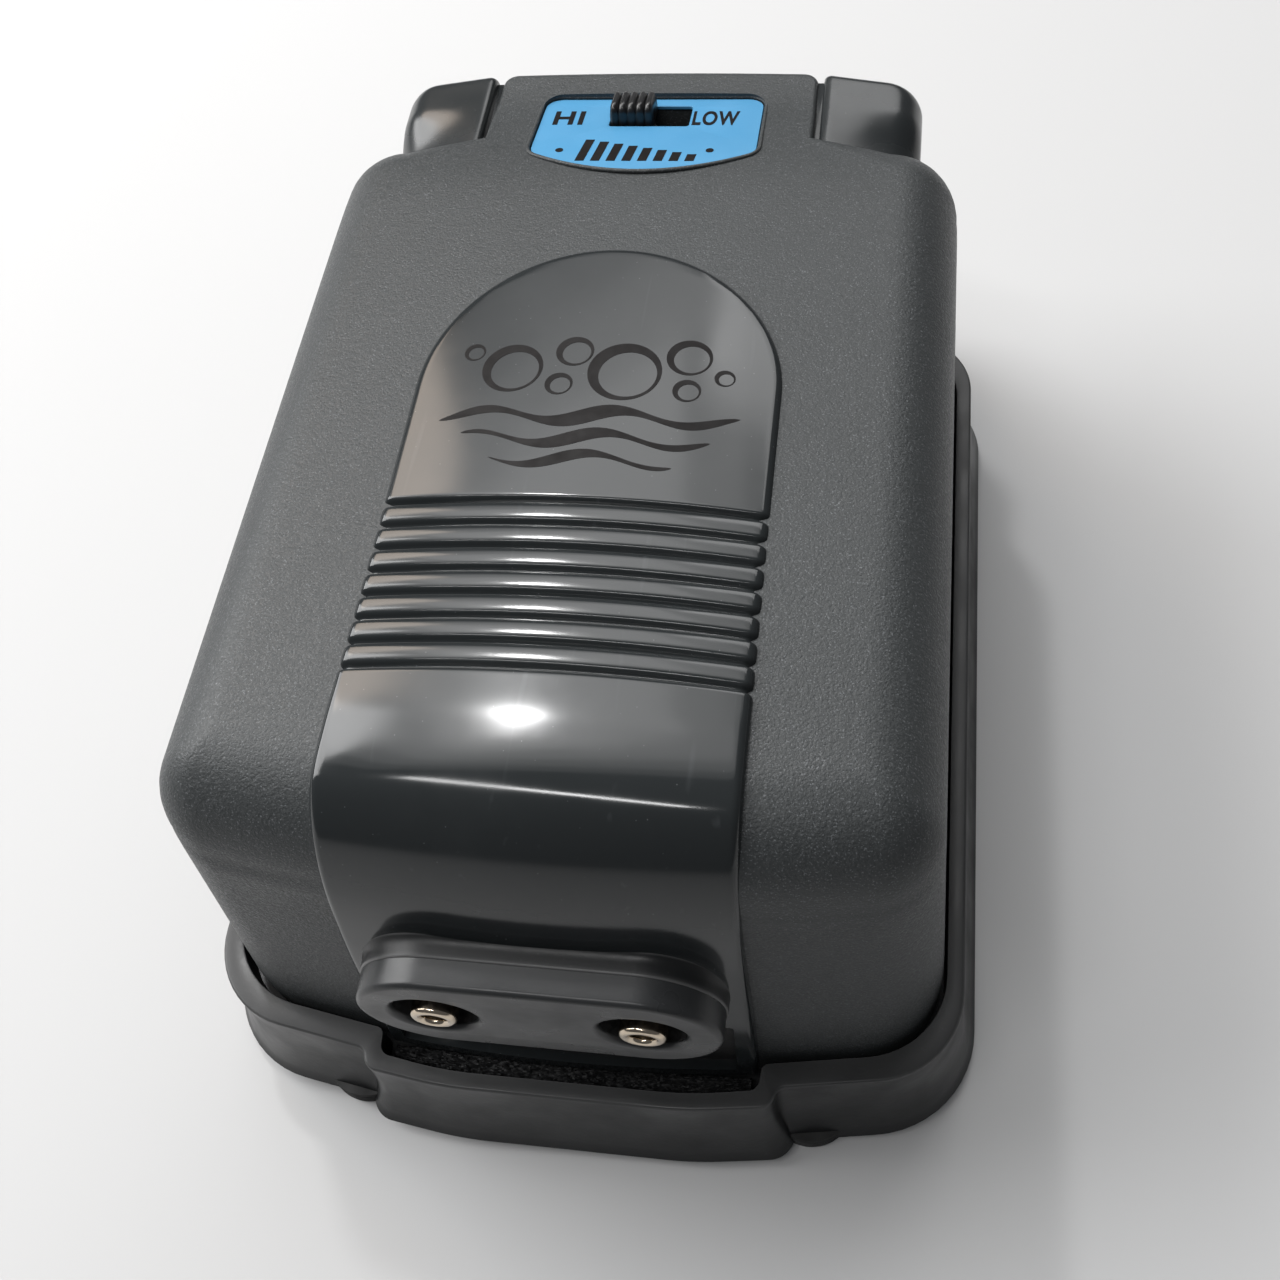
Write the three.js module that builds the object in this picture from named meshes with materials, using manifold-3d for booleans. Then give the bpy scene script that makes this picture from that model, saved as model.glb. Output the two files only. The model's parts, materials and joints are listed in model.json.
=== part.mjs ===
// Electromagnetic aquarium air pump with two outlets and a sliding output control.
// Millimetres, +Z up. The outlets face -Y and the cord gland faces +Y.
// The origin lies on the table, under the middle of the pump.
import * as THREE from 'three';
import { mergeVertices } from 'three/addons/utils/BufferGeometryUtils.js';
import Module from 'manifold-3d';

const wasm = await Module();
wasm.setup();

// ---- Driving dimensions ------------------------------------------------------------
const GAP = 0.3; // clearance left between pieces that touch
const CUT = 60; // reach of a cutting tool past the part it cuts

// Tray
const SKIRT_Z = 2; // underside of the skirt, above the table
const RIM_Z = 20; // top of the rim
const RIM_WIDTH = 2.9; // rim, from the cover's wall to its own outer edge
const SKIRT_FLARE = 2.8; // how far the skirt spreads at its foot
const SKIRT_WALL = 3;
const FLOOR_LOW = 6;
const FLOOR_TOP = 8.5;
const SEAT_Z = 12; // ledge that the cover stands on
const BUMP_HALF = 28.2; // front bulge of the rim
const BUMP_FRONT = -78.4;
const BUMP_FLOOR = 14;
const STRIP_LOW = 17.5; // lower edge of the strip, inside the bulge
const TAIL_HALF = 45.4; // rear part of the rim
const TAIL_REAR = 78.4;

// Cover
const COVER = { half: 50.5, front: -72.5, rear: 59.9, corner: 13, bow: 230 };
const WALL = 3;
const SIDE_DRAFT = 0.0644; // inward lean of the walls per millimetre of height
const FRONT_DRAFT = 0.025; // extra lean of the front wall
const SHOULDER = 9.8; // rounding between the side walls and the top
const FRONT_SHOULDER = 2.6; // extra rounding along the front
const REAR_SHOULDER = -7; // the rear edge is much sharper
const TOP_FRONT_Z = 72.2;
const TOP_REAR_Z = 71.1;
const TOP_FRONT_Y = -50;
const SLOPE_Y = 47; // the top falls toward the rear from here
const TONGUE_Z = 67.2; // height at which it levels out again
const LABEL_TILT = 0.206; // radians
const CROWN = 0.8; // height of the middle of the top over its edges

// Tongue at the rear of the cover, and the bumper with its two ears beside it
const TONGUE_HALF = 25.6;
const TONGUE_REAR = 74.3;
const TONGUE_LOW = 56;
const SLIT = 1.2;
const EAR_HALF = 42.1;
const EAR_TOP = 67.4;
const BUMPER_REAR = 72.5;
const BUMPER_WALL = 2.5;
const BRIDGE_TOP = 55.6; // top of the bumper between its ears
const GLAND_Z = 32; // middle of the cord's hole

// Centre strip
const STRIP_HALF = 25;
const STRIP_RAISE = 1.2;
const STRIP_CROWN = 1.2; // extra height of the strip's middle over its edges
const STRIP_DOME_Y = 2.5; // centre of its round end
const STRIP_INSET = 1.2; // how deep it sits in the cover
const GROOVE_FIRST_Y = -42.9;
const GROOVE_PITCH = 3.53;
const GROOVES = 8;
const GROOVE_WIDTH = 1;
const GROOVE_DEPTH = 0.8;

// Outlets
const OUTLET_X = 13.15;
const OUTLET_Z = 43.15;
const BLOCK_HALF = 23.1;
const BLOCK_RADIUS = 10.5;
const BLOCK_FRONT = -75.3;
const BLOCK_REAR = -64;
const RECESS_RADIUS = 5.5;
const RECESS_Y = -70.3;
const NOZZLE_RADIUS = 2.9;
const NOZZLE_BORE = 1.6;
const NOZZLE_FRONT = -75.9;
const NOZZLE_REAR = -59.6;
const HOSE_RADIUS = 3;

// Output control
const LABEL_Y = 57;
const LABEL_HALF = 17.4;
const LABEL_REAR = 10.6; // its edges, measured on the label from LABEL_Y
const LABEL_FRONT = -7;
const LABEL_BOW = 3.8;
const LABEL_CORNER = 3;
const LABEL_THICK = 0.8;
const SLOT_HALF = 6.2;
const SLOT_Y = 5.2; // middle of the slot, measured on the label
const SLOT_HALF_DEPTH = 3.1;
const KNOB_HALF = 3.4;
const KNOB_TRAVEL = 5.5;
const KNOB_X = -KNOB_TRAVEL / 2; // knob at the HI end
const KNOB_HALF_DEPTH = 2.6;
const KNOB_RIBS = 5;

// Electromagnet
const CORE_Y = 20;
const CORE_Z = 29;
const CORE_HALF = 18;
const CORE_STACK = 18;
const POLE_X = 15.5;
const POLE_WIDTH = 8;
const LIMB_HALF = 6;

// Pumping units; every x is measured outward from the middle plane
const ARM_X = 22;
const ARM_THICK = 2.2;
const ARM_LOW = 24;
const ARM_HIGH = 36;
const PIVOT_Y = -46;
const PIVOT_RADIUS = 2;
const UNIT_Y = -14;
const UNIT_Z = 30;
const UNIT_RADIUS = 17.5;
const CHAMBER_X = 31;
const CHAMBER_FLOOR = 37;
const CHAMBER_BACK = 39;
const PORT_OFFSET = 6;
const PORT_RADIUS = 2.2;

const SCREW_POSTS = [[42, -53], [41.5, 44]];
const FOOT_PLACES = [[33, -70.5], [36, 66]];
const FILTER_Y = -40;

// ---- Solids ------------------------------------------------------------------------
function toSolid(geometry) {
  const bare = geometry.clone();
  bare.deleteAttribute('normal');
  bare.deleteAttribute('uv');
  const merged = mergeVertices(bare, 1e-4);
  const index = merged.index.array;
  const triangles = [];
  for (let i = 0; i < index.length; i += 3) {
    const [a, b, c] = index.slice(i, i + 3);
    if (a !== b && b !== c && a !== c) triangles.push(a, b, c);
  }
  const vertProperties = new Float32Array(merged.attributes.position.array);
  const triVerts = new Uint32Array(triangles);
  return new wasm.Manifold(new wasm.Mesh({ numProp: 3, vertProperties, triVerts }));
}

function toGeometry(solid) {
  const mesh = solid.getMesh();
  const geometry = new THREE.BufferGeometry();
  geometry.setAttribute('position', new THREE.BufferAttribute(mesh.vertProperties, 3));
  geometry.setIndex(new THREE.BufferAttribute(mesh.triVerts, 1));
  geometry.computeVertexNormals();
  return geometry;
}

function mirroredX(geometry) {
  const flipped = geometry.index ? geometry.clone() : mergeVertices(geometry);
  flipped.scale(-1, 1, 1);
  const index = flipped.index.array;
  for (let i = 0; i < index.length; i += 3) {
    [index[i + 1], index[i + 2]] = [index[i + 2], index[i + 1]];
  }
  flipped.computeVertexNormals();
  return flipped;
}

const sum = (...solids) => solids.reduce((a, b) => a.add(b));
const less = (solid, ...tools) => tools.reduce((a, b) => a.subtract(b), solid);

// Drops the slivers that two nearly equal surfaces leave.
const mainBody = (solid) => solid.decompose().sort((a, b) => b.volume() - a.volume())[0];

function boxGeometry(x0, x1, y0, y1, z0, z1) {
  const geometry = new THREE.BoxGeometry(x1 - x0, y1 - y0, z1 - z0);
  return geometry.translate((x0 + x1) / 2, (y0 + y1) / 2, (z0 + z1) / 2);
}
const box = (...sides) => toSolid(boxGeometry(...sides));

// A round bar along X, Y or Z, from low to high on that axis. Its other two places follow.
function barGeometry(axis, radius, low, high, p, q, segments = 16) {
  const bar = new THREE.CylinderGeometry(radius, radius, high - low, segments);
  const middle = (low + high) / 2;
  if (axis === 'x') return bar.rotateZ(-Math.PI / 2).translate(middle, p, q);
  if (axis === 'z') return bar.rotateX(Math.PI / 2).translate(p, q, middle);
  return bar.translate(p, middle, q);
}
const bar = (...sizes) => toSolid(barGeometry(...sizes));

// A turned piece from [radius, distance along the axis] pairs that close on themselves.
function turned(axis, profile, segments = 16) {
  const points = profile.map(([radius, along]) => new THREE.Vector2(radius, along));
  if (THREE.ShapeUtils.area(points) < 0) points.reverse();
  const lathe = new THREE.LatheGeometry([...points, points[0]], segments);
  if (axis === 'x') lathe.rotateZ(-Math.PI / 2);
  if (axis === 'z') lathe.rotateX(Math.PI / 2);
  return toGeometry(toSolid(lathe));
}

// A solid lofted through closed rings of [x, y, z], counter-clockwise from above.
// A last ring that lies on one line needs no lid.
function loft(rings, lid = true) {
  const around = rings[0].length;
  const positions = rings.flat(2);
  const index = [];
  for (let j = 0; j + 1 < rings.length; j += 1) {
    for (let i = 0; i < around; i += 1) {
      const a = j * around + i;
      const b = j * around + ((i + 1) % around);
      index.push(a, b, b + around, a, b + around, a + around);
    }
  }
  const close = (ring, start, up) => {
    const middle = positions.length / 3;
    const centre = [0, 1, 2].map((k) => ring.reduce((s, p) => s + p[k], 0) / around);
    positions.push(...centre);
    for (let i = 0; i < around; i += 1) {
      const a = start + i;
      const b = start + ((i + 1) % around);
      index.push(...(up ? [a, b, middle] : [b, a, middle]));
    }
  };
  close(rings[0], 0, false);
  if (lid) close(rings[rings.length - 1], (rings.length - 1) * around, true);
  const geometry = new THREE.BufferGeometry();
  geometry.setAttribute('position', new THREE.Float32BufferAttribute(positions, 3));
  geometry.setIndex(index);
  return toSolid(geometry);
}

// ---- Outlines ----------------------------------------------------------------------
// Places and outward normals round a box with round corners and a bowed front.
function outline({ half, front, rear, corner, bow }, cornerSteps = 4, sideSteps = 3) {
  const tilt = Math.asin((half - corner) / (bow - corner));
  const cornerY = front + bow - (bow - corner) * Math.cos(tilt);
  const right = [];
  const put = (x, y, angle) => right.push([x, y, Math.cos(angle), Math.sin(angle)]);
  for (let i = 0; i < 3; i += 1) {
    const a = -Math.PI / 2 + (tilt * i) / 3;
    put(bow * Math.cos(a), front + bow + bow * Math.sin(a), a);
  }
  for (let i = 0; i <= cornerSteps; i += 1) {
    const a = -Math.PI / 2 + tilt + ((Math.PI / 2 - tilt) * i) / cornerSteps;
    put(half - corner + corner * Math.cos(a), cornerY + corner * Math.sin(a), a);
  }
  for (let i = 1; i < sideSteps; i += 1) {
    put(half, cornerY + ((rear - corner - cornerY) * i) / sideSteps, 0);
  }
  for (let i = 0; i <= cornerSteps; i += 1) {
    const a = (Math.PI / 2) * (i / cornerSteps);
    put(half - corner + corner * Math.cos(a), rear - corner + corner * Math.sin(a), a);
  }
  put((half - corner) / 2, rear, Math.PI / 2);
  put(0, rear, Math.PI / 2);
  right[0][0] = 0;
  const left = right.slice(1, -1).map(([x, y, nx, ny]) => [-x, y, -nx, ny]).reverse();
  return [...right, ...left];
}

const moved = (ring, out, z) => ring.map(([x, y, nx, ny]) => [x + nx * out, y + ny * out, z]);

function prism(shape, out, z0, z1) {
  const ring = outline(shape);
  return loft([moved(ring, out, z0), moved(ring, out, z1)]);
}

// ---- The cover's outer surface -----------------------------------------------------
function topZ(y) {
  const along = THREE.MathUtils.clamp((y - TOP_FRONT_Y) / (SLOPE_Y - TOP_FRONT_Y), 0, 1);
  const flat = TOP_FRONT_Z + (TOP_REAR_Z - TOP_FRONT_Z) * along;
  return Math.max(TONGUE_Z, flat - Math.tan(LABEL_TILT) * Math.max(0, y - SLOPE_Y));
}

// The strip stands highest over the front shoulder.
const raiseAt = (y) => STRIP_RAISE + 0.9 * THREE.MathUtils.clamp((-20 - y) / 35, 0, 1) ** 1.5;

// The cover's body, grown by "grow" on every side. With "raised" its top follows the strip.
function coverBody(grow, low, raised = false) {
  const ring = outline(COVER);
  const rings = [];
  const draftAt = (z, ny) => {
    const lean = SIDE_DRAFT + FRONT_DRAFT * Math.max(0, -ny) ** 3;
    return lean * Math.max(0, z - RIM_Z);
  };
  const radiusAt = (ny) => {
    const rear = Math.max(0, ny) ** 2 * REAR_SHOULDER;
    return SHOULDER + Math.max(0, -ny) ** 3 * FRONT_SHOULDER + rear + Math.min(grow, 0) * 0.8;
  };
  const edgeZ = (y) => topZ(y) - CROWN + grow + (raised ? raiseAt(y) - STRIP_RAISE : 0);
  for (const level of [0, 0.2, 1]) {
    rings.push(ring.map(([x, y, nx, ny]) => {
      const wallTop = edgeZ(y) - Math.max(radiusAt(ny), 0.4);
      const z = level === 0 ? low : RIM_Z + (wallTop - RIM_Z) * (level - 0.2) / 0.8;
      const out = grow - draftAt(z, ny);
      return [x + nx * out, y + ny * out, z];
    }));
  }
  const filletSteps = 4;
  const shoulder = (step) => ring.map(([x, y, nx, ny]) => {
    const radius = Math.max(radiusAt(ny), 0.4);
    const wallTop = edgeZ(y) - radius;
    const a = (Math.PI / 2) * (step / filletSteps);
    const out = grow - draftAt(wallTop, ny) - radius * (1 - Math.cos(a));
    return [x + nx * out, y + ny * out, wallTop + radius * Math.sin(a)];
  });
  for (let step = 1; step <= filletSteps; step += 1) rings.push(shoulder(step));
  const edge = rings[rings.length - 1];
  const spine = [COVER.front + 20, COVER.rear - 12];
  for (const share of [0.5, 1]) {
    rings.push(edge.map(([x, y, z]) => {
      const strip = raised ? STRIP_CROWN * Math.max(0, 1 - ((x * (1 - share)) / STRIP_HALF) ** 2) : 0;
      const rise = CROWN * (1 - (1 - share) ** 2) + strip;
      const middleY = THREE.MathUtils.clamp(y, ...spine);
      const placeY = y + (middleY - y) * share;
      return [x * (1 - share), placeY, z * (1 - share) + edgeZ(placeY) * share + rise];
    }));
  }
  return loft(rings, false);
}

// Plan of the centre strip: straight sides and a round rear end.
function stripPrism(grow) {
  const plan = new THREE.Shape();
  const half = STRIP_HALF + grow;
  plan.moveTo(-half, COVER.front - CUT);
  plan.lineTo(half, COVER.front - CUT);
  plan.lineTo(half, STRIP_DOME_Y);
  plan.absarc(0, STRIP_DOME_Y, half, 0, Math.PI);
  const options = { depth: 2 * CUT, bevelEnabled: false, curveSegments: 16 };
  const geometry = new THREE.ExtrudeGeometry(plan, options);
  return toSolid(geometry);
}

// A pill-shaped bar along Y, as the outlet block's plan.
function pill(grow, low, high) {
  const radius = BLOCK_RADIUS + grow;
  const half = BLOCK_HALF + grow - radius;
  const shape = new THREE.Shape();
  shape.absarc(half, 0, radius, -Math.PI / 2, Math.PI / 2);
  shape.absarc(-half, 0, radius, Math.PI / 2, Math.PI * 1.5);
  const options = { depth: high - low, bevelEnabled: false, curveSegments: 9 };
  const geometry = new THREE.ExtrudeGeometry(shape, options);
  return toSolid(geometry.rotateX(Math.PI / 2).translate(0, high, OUTLET_Z));
}

// Turns a geometry drawn flat on the label into its place on the sloping top.
function onLabel(geometry) {
  const z = topZ(LABEL_Y);
  return geometry.rotateX(-LABEL_TILT).translate(0, LABEL_Y, z);
}

function labelShape(grow) {
  const half = LABEL_HALF + grow;
  const rear = LABEL_REAR + grow;
  const front = LABEL_FRONT - grow;
  const corner = LABEL_CORNER;
  const shape = new THREE.Shape();
  shape.moveTo(-half, front);
  shape.quadraticCurveTo(0, front - 2 * LABEL_BOW, half, front);
  shape.lineTo(half, rear - corner);
  shape.absarc(half - corner, rear - corner, corner, 0, Math.PI / 2);
  shape.absarc(-half + corner, rear - corner, corner, Math.PI / 2, Math.PI);
  return shape;
}

function labelPlateGeometry(grow, low, high) {
  const options = { depth: high - low, bevelEnabled: false, curveSegments: 8 };
  return new THREE.ExtrudeGeometry(labelShape(grow), options).translate(0, 0, low);
}

// ---- Housing -----------------------------------------------------------------------
// One part of the tray's outside: a rim outline that spreads toward its foot.
function flaredSkirt(shape, growth) {
  const ring = outline(shape);
  const rings = [];
  for (const share of [0, 0.3, 0.6, 1]) {
    const z = SKIRT_Z + (RIM_Z - SKIRT_Z) * share;
    rings.push(moved(ring, growth + SKIRT_FLARE * (1 - share) ** 2, z));
  }
  return loft(rings);
}

const BUMP = { half: BUMP_HALF, front: BUMP_FRONT, rear: -40, corner: 4, bow: 300 };
const TAIL = { half: TAIL_HALF, front: 20, rear: TAIL_REAR, corner: 9, bow: 900 };
const TOWER = { half: EAR_HALF, front: 40, rear: BUMPER_REAR, corner: 5, bow: 900 };

function baseTray() {
  const skirt = sum(flaredSkirt(COVER, RIM_WIDTH), flaredSkirt(BUMP, 0), flaredSkirt(TAIL, 0));
  const seat = sum(prism(COVER, GAP, SEAT_Z, RIM_Z + 5), prism(TOWER, GAP, SEAT_Z, RIM_Z + 5));
  const bumpPocket = prism(BUMP, -1.6, BUMP_FLOOR, RIM_Z + 5);
  const well = sum(prism(COVER, -WALL, FLOOR_TOP, SEAT_Z + 1), prism(TOWER, -WALL, FLOOR_TOP, SEAT_Z + 1));
  const under = sum(
    prism(COVER, RIM_WIDTH - SKIRT_WALL, 0, FLOOR_LOW),
    prism(TAIL, -SKIRT_WALL, 0, FLOOR_LOW),
  );
  let tray = less(skirt, seat, bumpPocket, well, under);
  const filterWall = less(
    bar('z', 13.5, SKIRT_Z + 0.6, FLOOR_LOW + 1, 0, FILTER_Y, 16),
    bar('z', 12, 0, FLOOR_LOW, 0, FILTER_Y, 18),
  );
  tray = sum(tray, filterWall);
  for (const x of [-5, 0, 5]) tray = less(tray, bar('z', 1.6, 0, SEAT_Z, x, FILTER_Y, 12));
  for (const side of [-1, 1]) {
    for (const [x, y] of SCREW_POSTS) {
      const column = bar('z', 4.2, SKIRT_Z + 1, SEAT_Z - GAP, side * x, y, 12);
      const hole = bar('z', 1.7, 0, SEAT_Z + 1, side * x, y, 12);
      const counterbore = bar('z', 3.3, 0, FLOOR_LOW + 1, side * x, y, 12);
      tray = less(sum(tray, column), hole, counterbore);
    }
    for (const [x, y] of FOOT_PLACES) {
      const pad = bar('z', 7.6, 4.1, FLOOR_TOP - 1, side * x, y, 14).intersect(skirt);
      const seatOfFoot = bar('z', 6.9, 0, 4.1, side * x, y, 14);
      const stem = bar('z', 2.6, 0, FLOOR_TOP - 2, side * x, y, 12);
      tray = less(sum(tray, pad), seatOfFoot, stem);
    }
    tray = less(tray, bar('z', 1.5, 0, SEAT_Z, side * 18, CORE_Y, 12));
  }
  return toGeometry(tray);
}

function topCover() {
  const tongueRing = { half: TONGUE_HALF, front: 30, rear: TONGUE_REAR, corner: 2.5, bow: 900 };
  const tongueTop = (grow, low) => {
    const ring = outline(tongueRing);
    const at = (out, drop) => ring.map(([x, y, nx, ny]) => {
      const place = y + ny * out;
      return [x + nx * out, place, topZ(Math.max(place, SLOPE_Y - 6)) - drop];
    });
    const edge = [at(grow, 2.2 - grow), at(grow - 0.7, 0.9 - grow), at(grow - 2.2, 0.25 - grow)];
    return loft([moved(ring, grow, low), ...edge]);
  };
  const outer = sum(coverBody(0, SEAT_Z + GAP), tongueTop(0, TONGUE_LOW));
  const inner = sum(
    coverBody(-WALL, SEAT_Z - 1),
    less(tongueTop(-2.5, TONGUE_LOW - 1), box(-CUT, CUT, 0, 46, 0, 90)),
    box(-TONGUE_HALF + 2.5, TONGUE_HALF - 2.5, 50, 62, SEAT_Z - 1, TONGUE_LOW),
  );
  let cover = less(outer, inner);
  const channel = less(stripPrism(GAP), coverBody(-STRIP_INSET - 2 * GAP, 0));
  cover = less(cover, channel, pill(GAP, -90, BLOCK_REAR));
  for (const side of [-1, 1]) {
    for (const [x, y] of SCREW_POSTS) {
      const post = bar('z', 3.6, SEAT_Z + GAP, 64, side * x, y, 12);
      cover = less(sum(cover, post), bar('z', 1.5, 0, 26, side * x, y, 12));
    }
  }
  const recess = toSolid(onLabel(labelPlateGeometry(GAP, -LABEL_THICK - GAP, 5)));
  const slot = new THREE.BoxGeometry(2 * SLOT_HALF + 0.6, 2 * SLOT_HALF_DEPTH, 20);
  const slotHole = toSolid(onLabel(slot.translate(0, SLOT_Y, -4)));
  return toGeometry(mainBody(less(cover, recess, slotHole)));
}

function centreStrip() {
  const raised = coverBody(STRIP_RAISE, STRIP_LOW, true);
  let strip = less(raised.intersect(stripPrism(0)), coverBody(-STRIP_INSET, 0));
  strip = less(strip, pill(GAP, -90, BLOCK_REAR));
  const ribRoot = coverBody(STRIP_RAISE - GROOVE_DEPTH, 0, true);
  for (let i = 0; i < GROOVES; i += 1) {
    const y = GROOVE_FIRST_Y + i * GROOVE_PITCH;
    const groove = box(-CUT, CUT, y - GROOVE_WIDTH / 2, y + GROOVE_WIDTH / 2, TONGUE_LOW, 2 * CUT);
    strip = less(strip, less(groove, ribRoot));
  }
  return toGeometry(strip);
}

function rearBumper() {
  const low = SEAT_Z + GAP;
  const ring = outline({ ...TOWER, front: 30 });
  const earRings = [
    moved(ring, 0, low),
    moved(ring, 0, EAR_TOP - 3.6),
    moved(ring, -1, EAR_TOP - 1.2),
    moved(ring, -3.6, EAR_TOP),
  ];
  let bumper = less(loft(earRings), coverBody(GAP, 0), box(-CUT, CUT, 0, COVER.rear - 6, 0, 90));
  const cut = TONGUE_HALF + SLIT;
  const inside = EAR_HALF - BUMPER_WALL;
  const back = BUMPER_REAR - BUMPER_WALL;
  bumper = less(
    bumper,
    box(-cut, cut, 0, 90, BRIDGE_TOP, 90),
    box(-inside, inside, 0, back, 0, BRIDGE_TOP - BUMPER_WALL),
    box(cut + BUMPER_WALL, inside, 0, back, 20, EAR_TOP - BUMPER_WALL),
    box(-inside, -cut - BUMPER_WALL, 0, back, 20, EAR_TOP - BUMPER_WALL),
    bar('y', 5, 60, 90, 0, GLAND_Z, 24),
  );
  return toGeometry(bumper);
}

const cordGland = () => turned('y', [
  [3.2, BUMPER_REAR - 4.6], [6.2, BUMPER_REAR - 4.6], [6.2, BUMPER_REAR - 2.8], [4.7, BUMPER_REAR - 2.8],
  [4.7, BUMPER_REAR + GAP], [6.5, BUMPER_REAR + GAP], [6.5, BUMPER_REAR + 1.4], [5.6, BUMPER_REAR + 2.2],
  [3.2, BUMPER_REAR + 2.2],
], 20);

const foot = () => turned('z', [
  [0, 0], [5.6, 0], [6.5, 0.8], [6.5, 3.8], [2.3, 3.8], [2.3, 6.2], [0, 6.2],
]);

function screw(headRadius, headLow, headHigh, shaftRadius, tip, headUp) {
  const head = headUp ? [headHigh, headLow] : [headLow, headHigh];
  const point = headUp ? tip + 1 : tip - 1;
  const profile = [[0, head[0]], [headRadius, head[0]], [headRadius, head[1]], [shaftRadius, head[1]]];
  const turnedScrew = toSolid(turned('z', [...profile, [shaftRadius, point], [0, tip]], 16));
  const face = headUp ? headHigh : headLow;
  const depth = [face - 0.8, face + 0.8];
  const cross = sum(box(-1.8, 1.8, -0.3, 0.3, ...depth), box(-0.3, 0.3, -1.8, 1.8, ...depth));
  return toGeometry(less(turnedScrew, cross));
}

// ---- Outlets -----------------------------------------------------------------------
function outletBlock() {
  let block = pill(0, BLOCK_FRONT, BLOCK_REAR);
  for (const x of [-OUTLET_X, OUTLET_X]) {
    const recess = bar('y', RECESS_RADIUS, -90, RECESS_Y, x, OUTLET_Z, 20);
    const bore = bar('y', NOZZLE_RADIUS + GAP, -90, 0, x, OUTLET_Z, 16);
    block = less(block, recess, bore);
  }
  return toGeometry(block);
}

const nozzle = () => turned('y', [
  [NOZZLE_BORE, NOZZLE_FRONT], [2.3, NOZZLE_FRONT], [NOZZLE_RADIUS, NOZZLE_FRONT + 0.8],
  [NOZZLE_RADIUS, BLOCK_REAR + GAP], [4.2, BLOCK_REAR + GAP], [4.2, BLOCK_REAR + 1.6],
  [1.9, BLOCK_REAR + 1.6], [1.9, NOZZLE_REAR], [NOZZLE_BORE, NOZZLE_REAR],
], 16);

const BARB_X = 41.3;
const BARB_Z = UNIT_Z - PORT_OFFSET;

// Air hose from the pumping unit's barb to the nozzle's rear end.
function hose() {
  const path = new THREE.CatmullRomCurve3([
    new THREE.Vector3(BARB_X, UNIT_Y - UNIT_RADIUS - 0.8, BARB_Z),
    new THREE.Vector3(BARB_X - 0.1, UNIT_Y - UNIT_RADIUS - 3.5, BARB_Z),
    new THREE.Vector3(38.4, UNIT_Y - UNIT_RADIUS - 9, BARB_Z + 1.2),
    new THREE.Vector3(32, PIVOT_Y - 1, 29),
    new THREE.Vector3(24.5, PIVOT_Y - 7.5, 36),
    new THREE.Vector3(18, PIVOT_Y - 9, 42),
    new THREE.Vector3(OUTLET_X + 0.1, PIVOT_Y - 11.6, OUTLET_Z),
    new THREE.Vector3(OUTLET_X, BLOCK_REAR + 4, OUTLET_Z),
    new THREE.Vector3(OUTLET_X, BLOCK_REAR + 2.2, OUTLET_Z),
  ]);
  const ring = new THREE.Shape();
  ring.absarc(0, 0, HOSE_RADIUS, 0, 2 * Math.PI);
  const bore = new THREE.Path();
  bore.absarc(0, 0, HOSE_RADIUS - 0.8, 0, 2 * Math.PI, true);
  ring.holes.push(bore);
  return new THREE.ExtrudeGeometry(ring, { steps: 14, curveSegments: 4, extrudePath: path });
}

// ---- Output control ----------------------------------------------------------------
function labelPlate() {
  const plate = toSolid(labelPlateGeometry(0, -LABEL_THICK, 0));
  const slot = box(-SLOT_HALF, SLOT_HALF, SLOT_Y - SLOT_HALF_DEPTH, SLOT_Y + SLOT_HALF_DEPTH, -5, 5);
  return onLabel(toGeometry(less(plate, slot)));
}

// A ribbed thumb piece with a stem that reaches through the slot.
function speedKnob() {
  const side = new THREE.Shape();
  side.moveTo(-KNOB_HALF_DEPTH, -0.4);
  side.lineTo(KNOB_HALF_DEPTH, -0.4);
  side.lineTo(KNOB_HALF_DEPTH, 1.2);
  side.absellipse(0, 1.2, KNOB_HALF_DEPTH, 2, 0, Math.PI);
  const options = { depth: 2 * KNOB_HALF, bevelEnabled: false, curveSegments: 10 };
  const body = new THREE.ExtrudeGeometry(side, options);
  body.rotateX(Math.PI / 2).rotateZ(Math.PI / 2).translate(-KNOB_HALF, 0, 0);
  let knob = toSolid(body);
  const pitch = (2 * KNOB_HALF) / KNOB_RIBS;
  for (let i = 1; i < KNOB_RIBS; i += 1) {
    const x = i * pitch - KNOB_HALF;
    knob = less(knob, box(x - 0.2, x + 0.2, -CUT, CUT, 1.2, CUT));
  }
  const stem = box(-1.9, 1.9, -1.3, 1.3, -5.6, 0);
  return onLabel(toGeometry(sum(knob, stem)).translate(KNOB_X, SLOT_Y, 0));
}

const SWITCH_TOP = 63.6;
const SWITCH_Y = LABEL_Y + SLOT_Y - 0.8;
const BOARD_TOP = 58.6;
function switchBody() {
  const shell = box(-8.5, 8.5, SWITCH_Y - 3.5, SWITCH_Y + 3.5, BOARD_TOP + GAP, SWITCH_TOP);
  const well = box(-7, 7, SWITCH_Y - 2.2, SWITCH_Y + 2.2, BOARD_TOP + 1.5, SWITCH_TOP + 2);
  return toGeometry(less(shell, well));
}
const switchContact = () => boxGeometry(
  KNOB_X - 2.4, KNOB_X + 2.4, SWITCH_Y - 1.6, SWITCH_Y + 1.6, BOARD_TOP + 1.9, BOARD_TOP + 3.1,
);
function controlBoard() {
  const board = box(-16, 16, 48, 68, BOARD_TOP - 1.6, BOARD_TOP);
  return toGeometry(less(board, bar('z', 1.6, 50, 70, -13, 51, 14), bar('z', 1.6, 50, 70, 13, 51, 14)));
}
const diode = () => barGeometry('x', 1.4, -13.5, -10, 62, BOARD_TOP + 1.8, 14);

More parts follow.
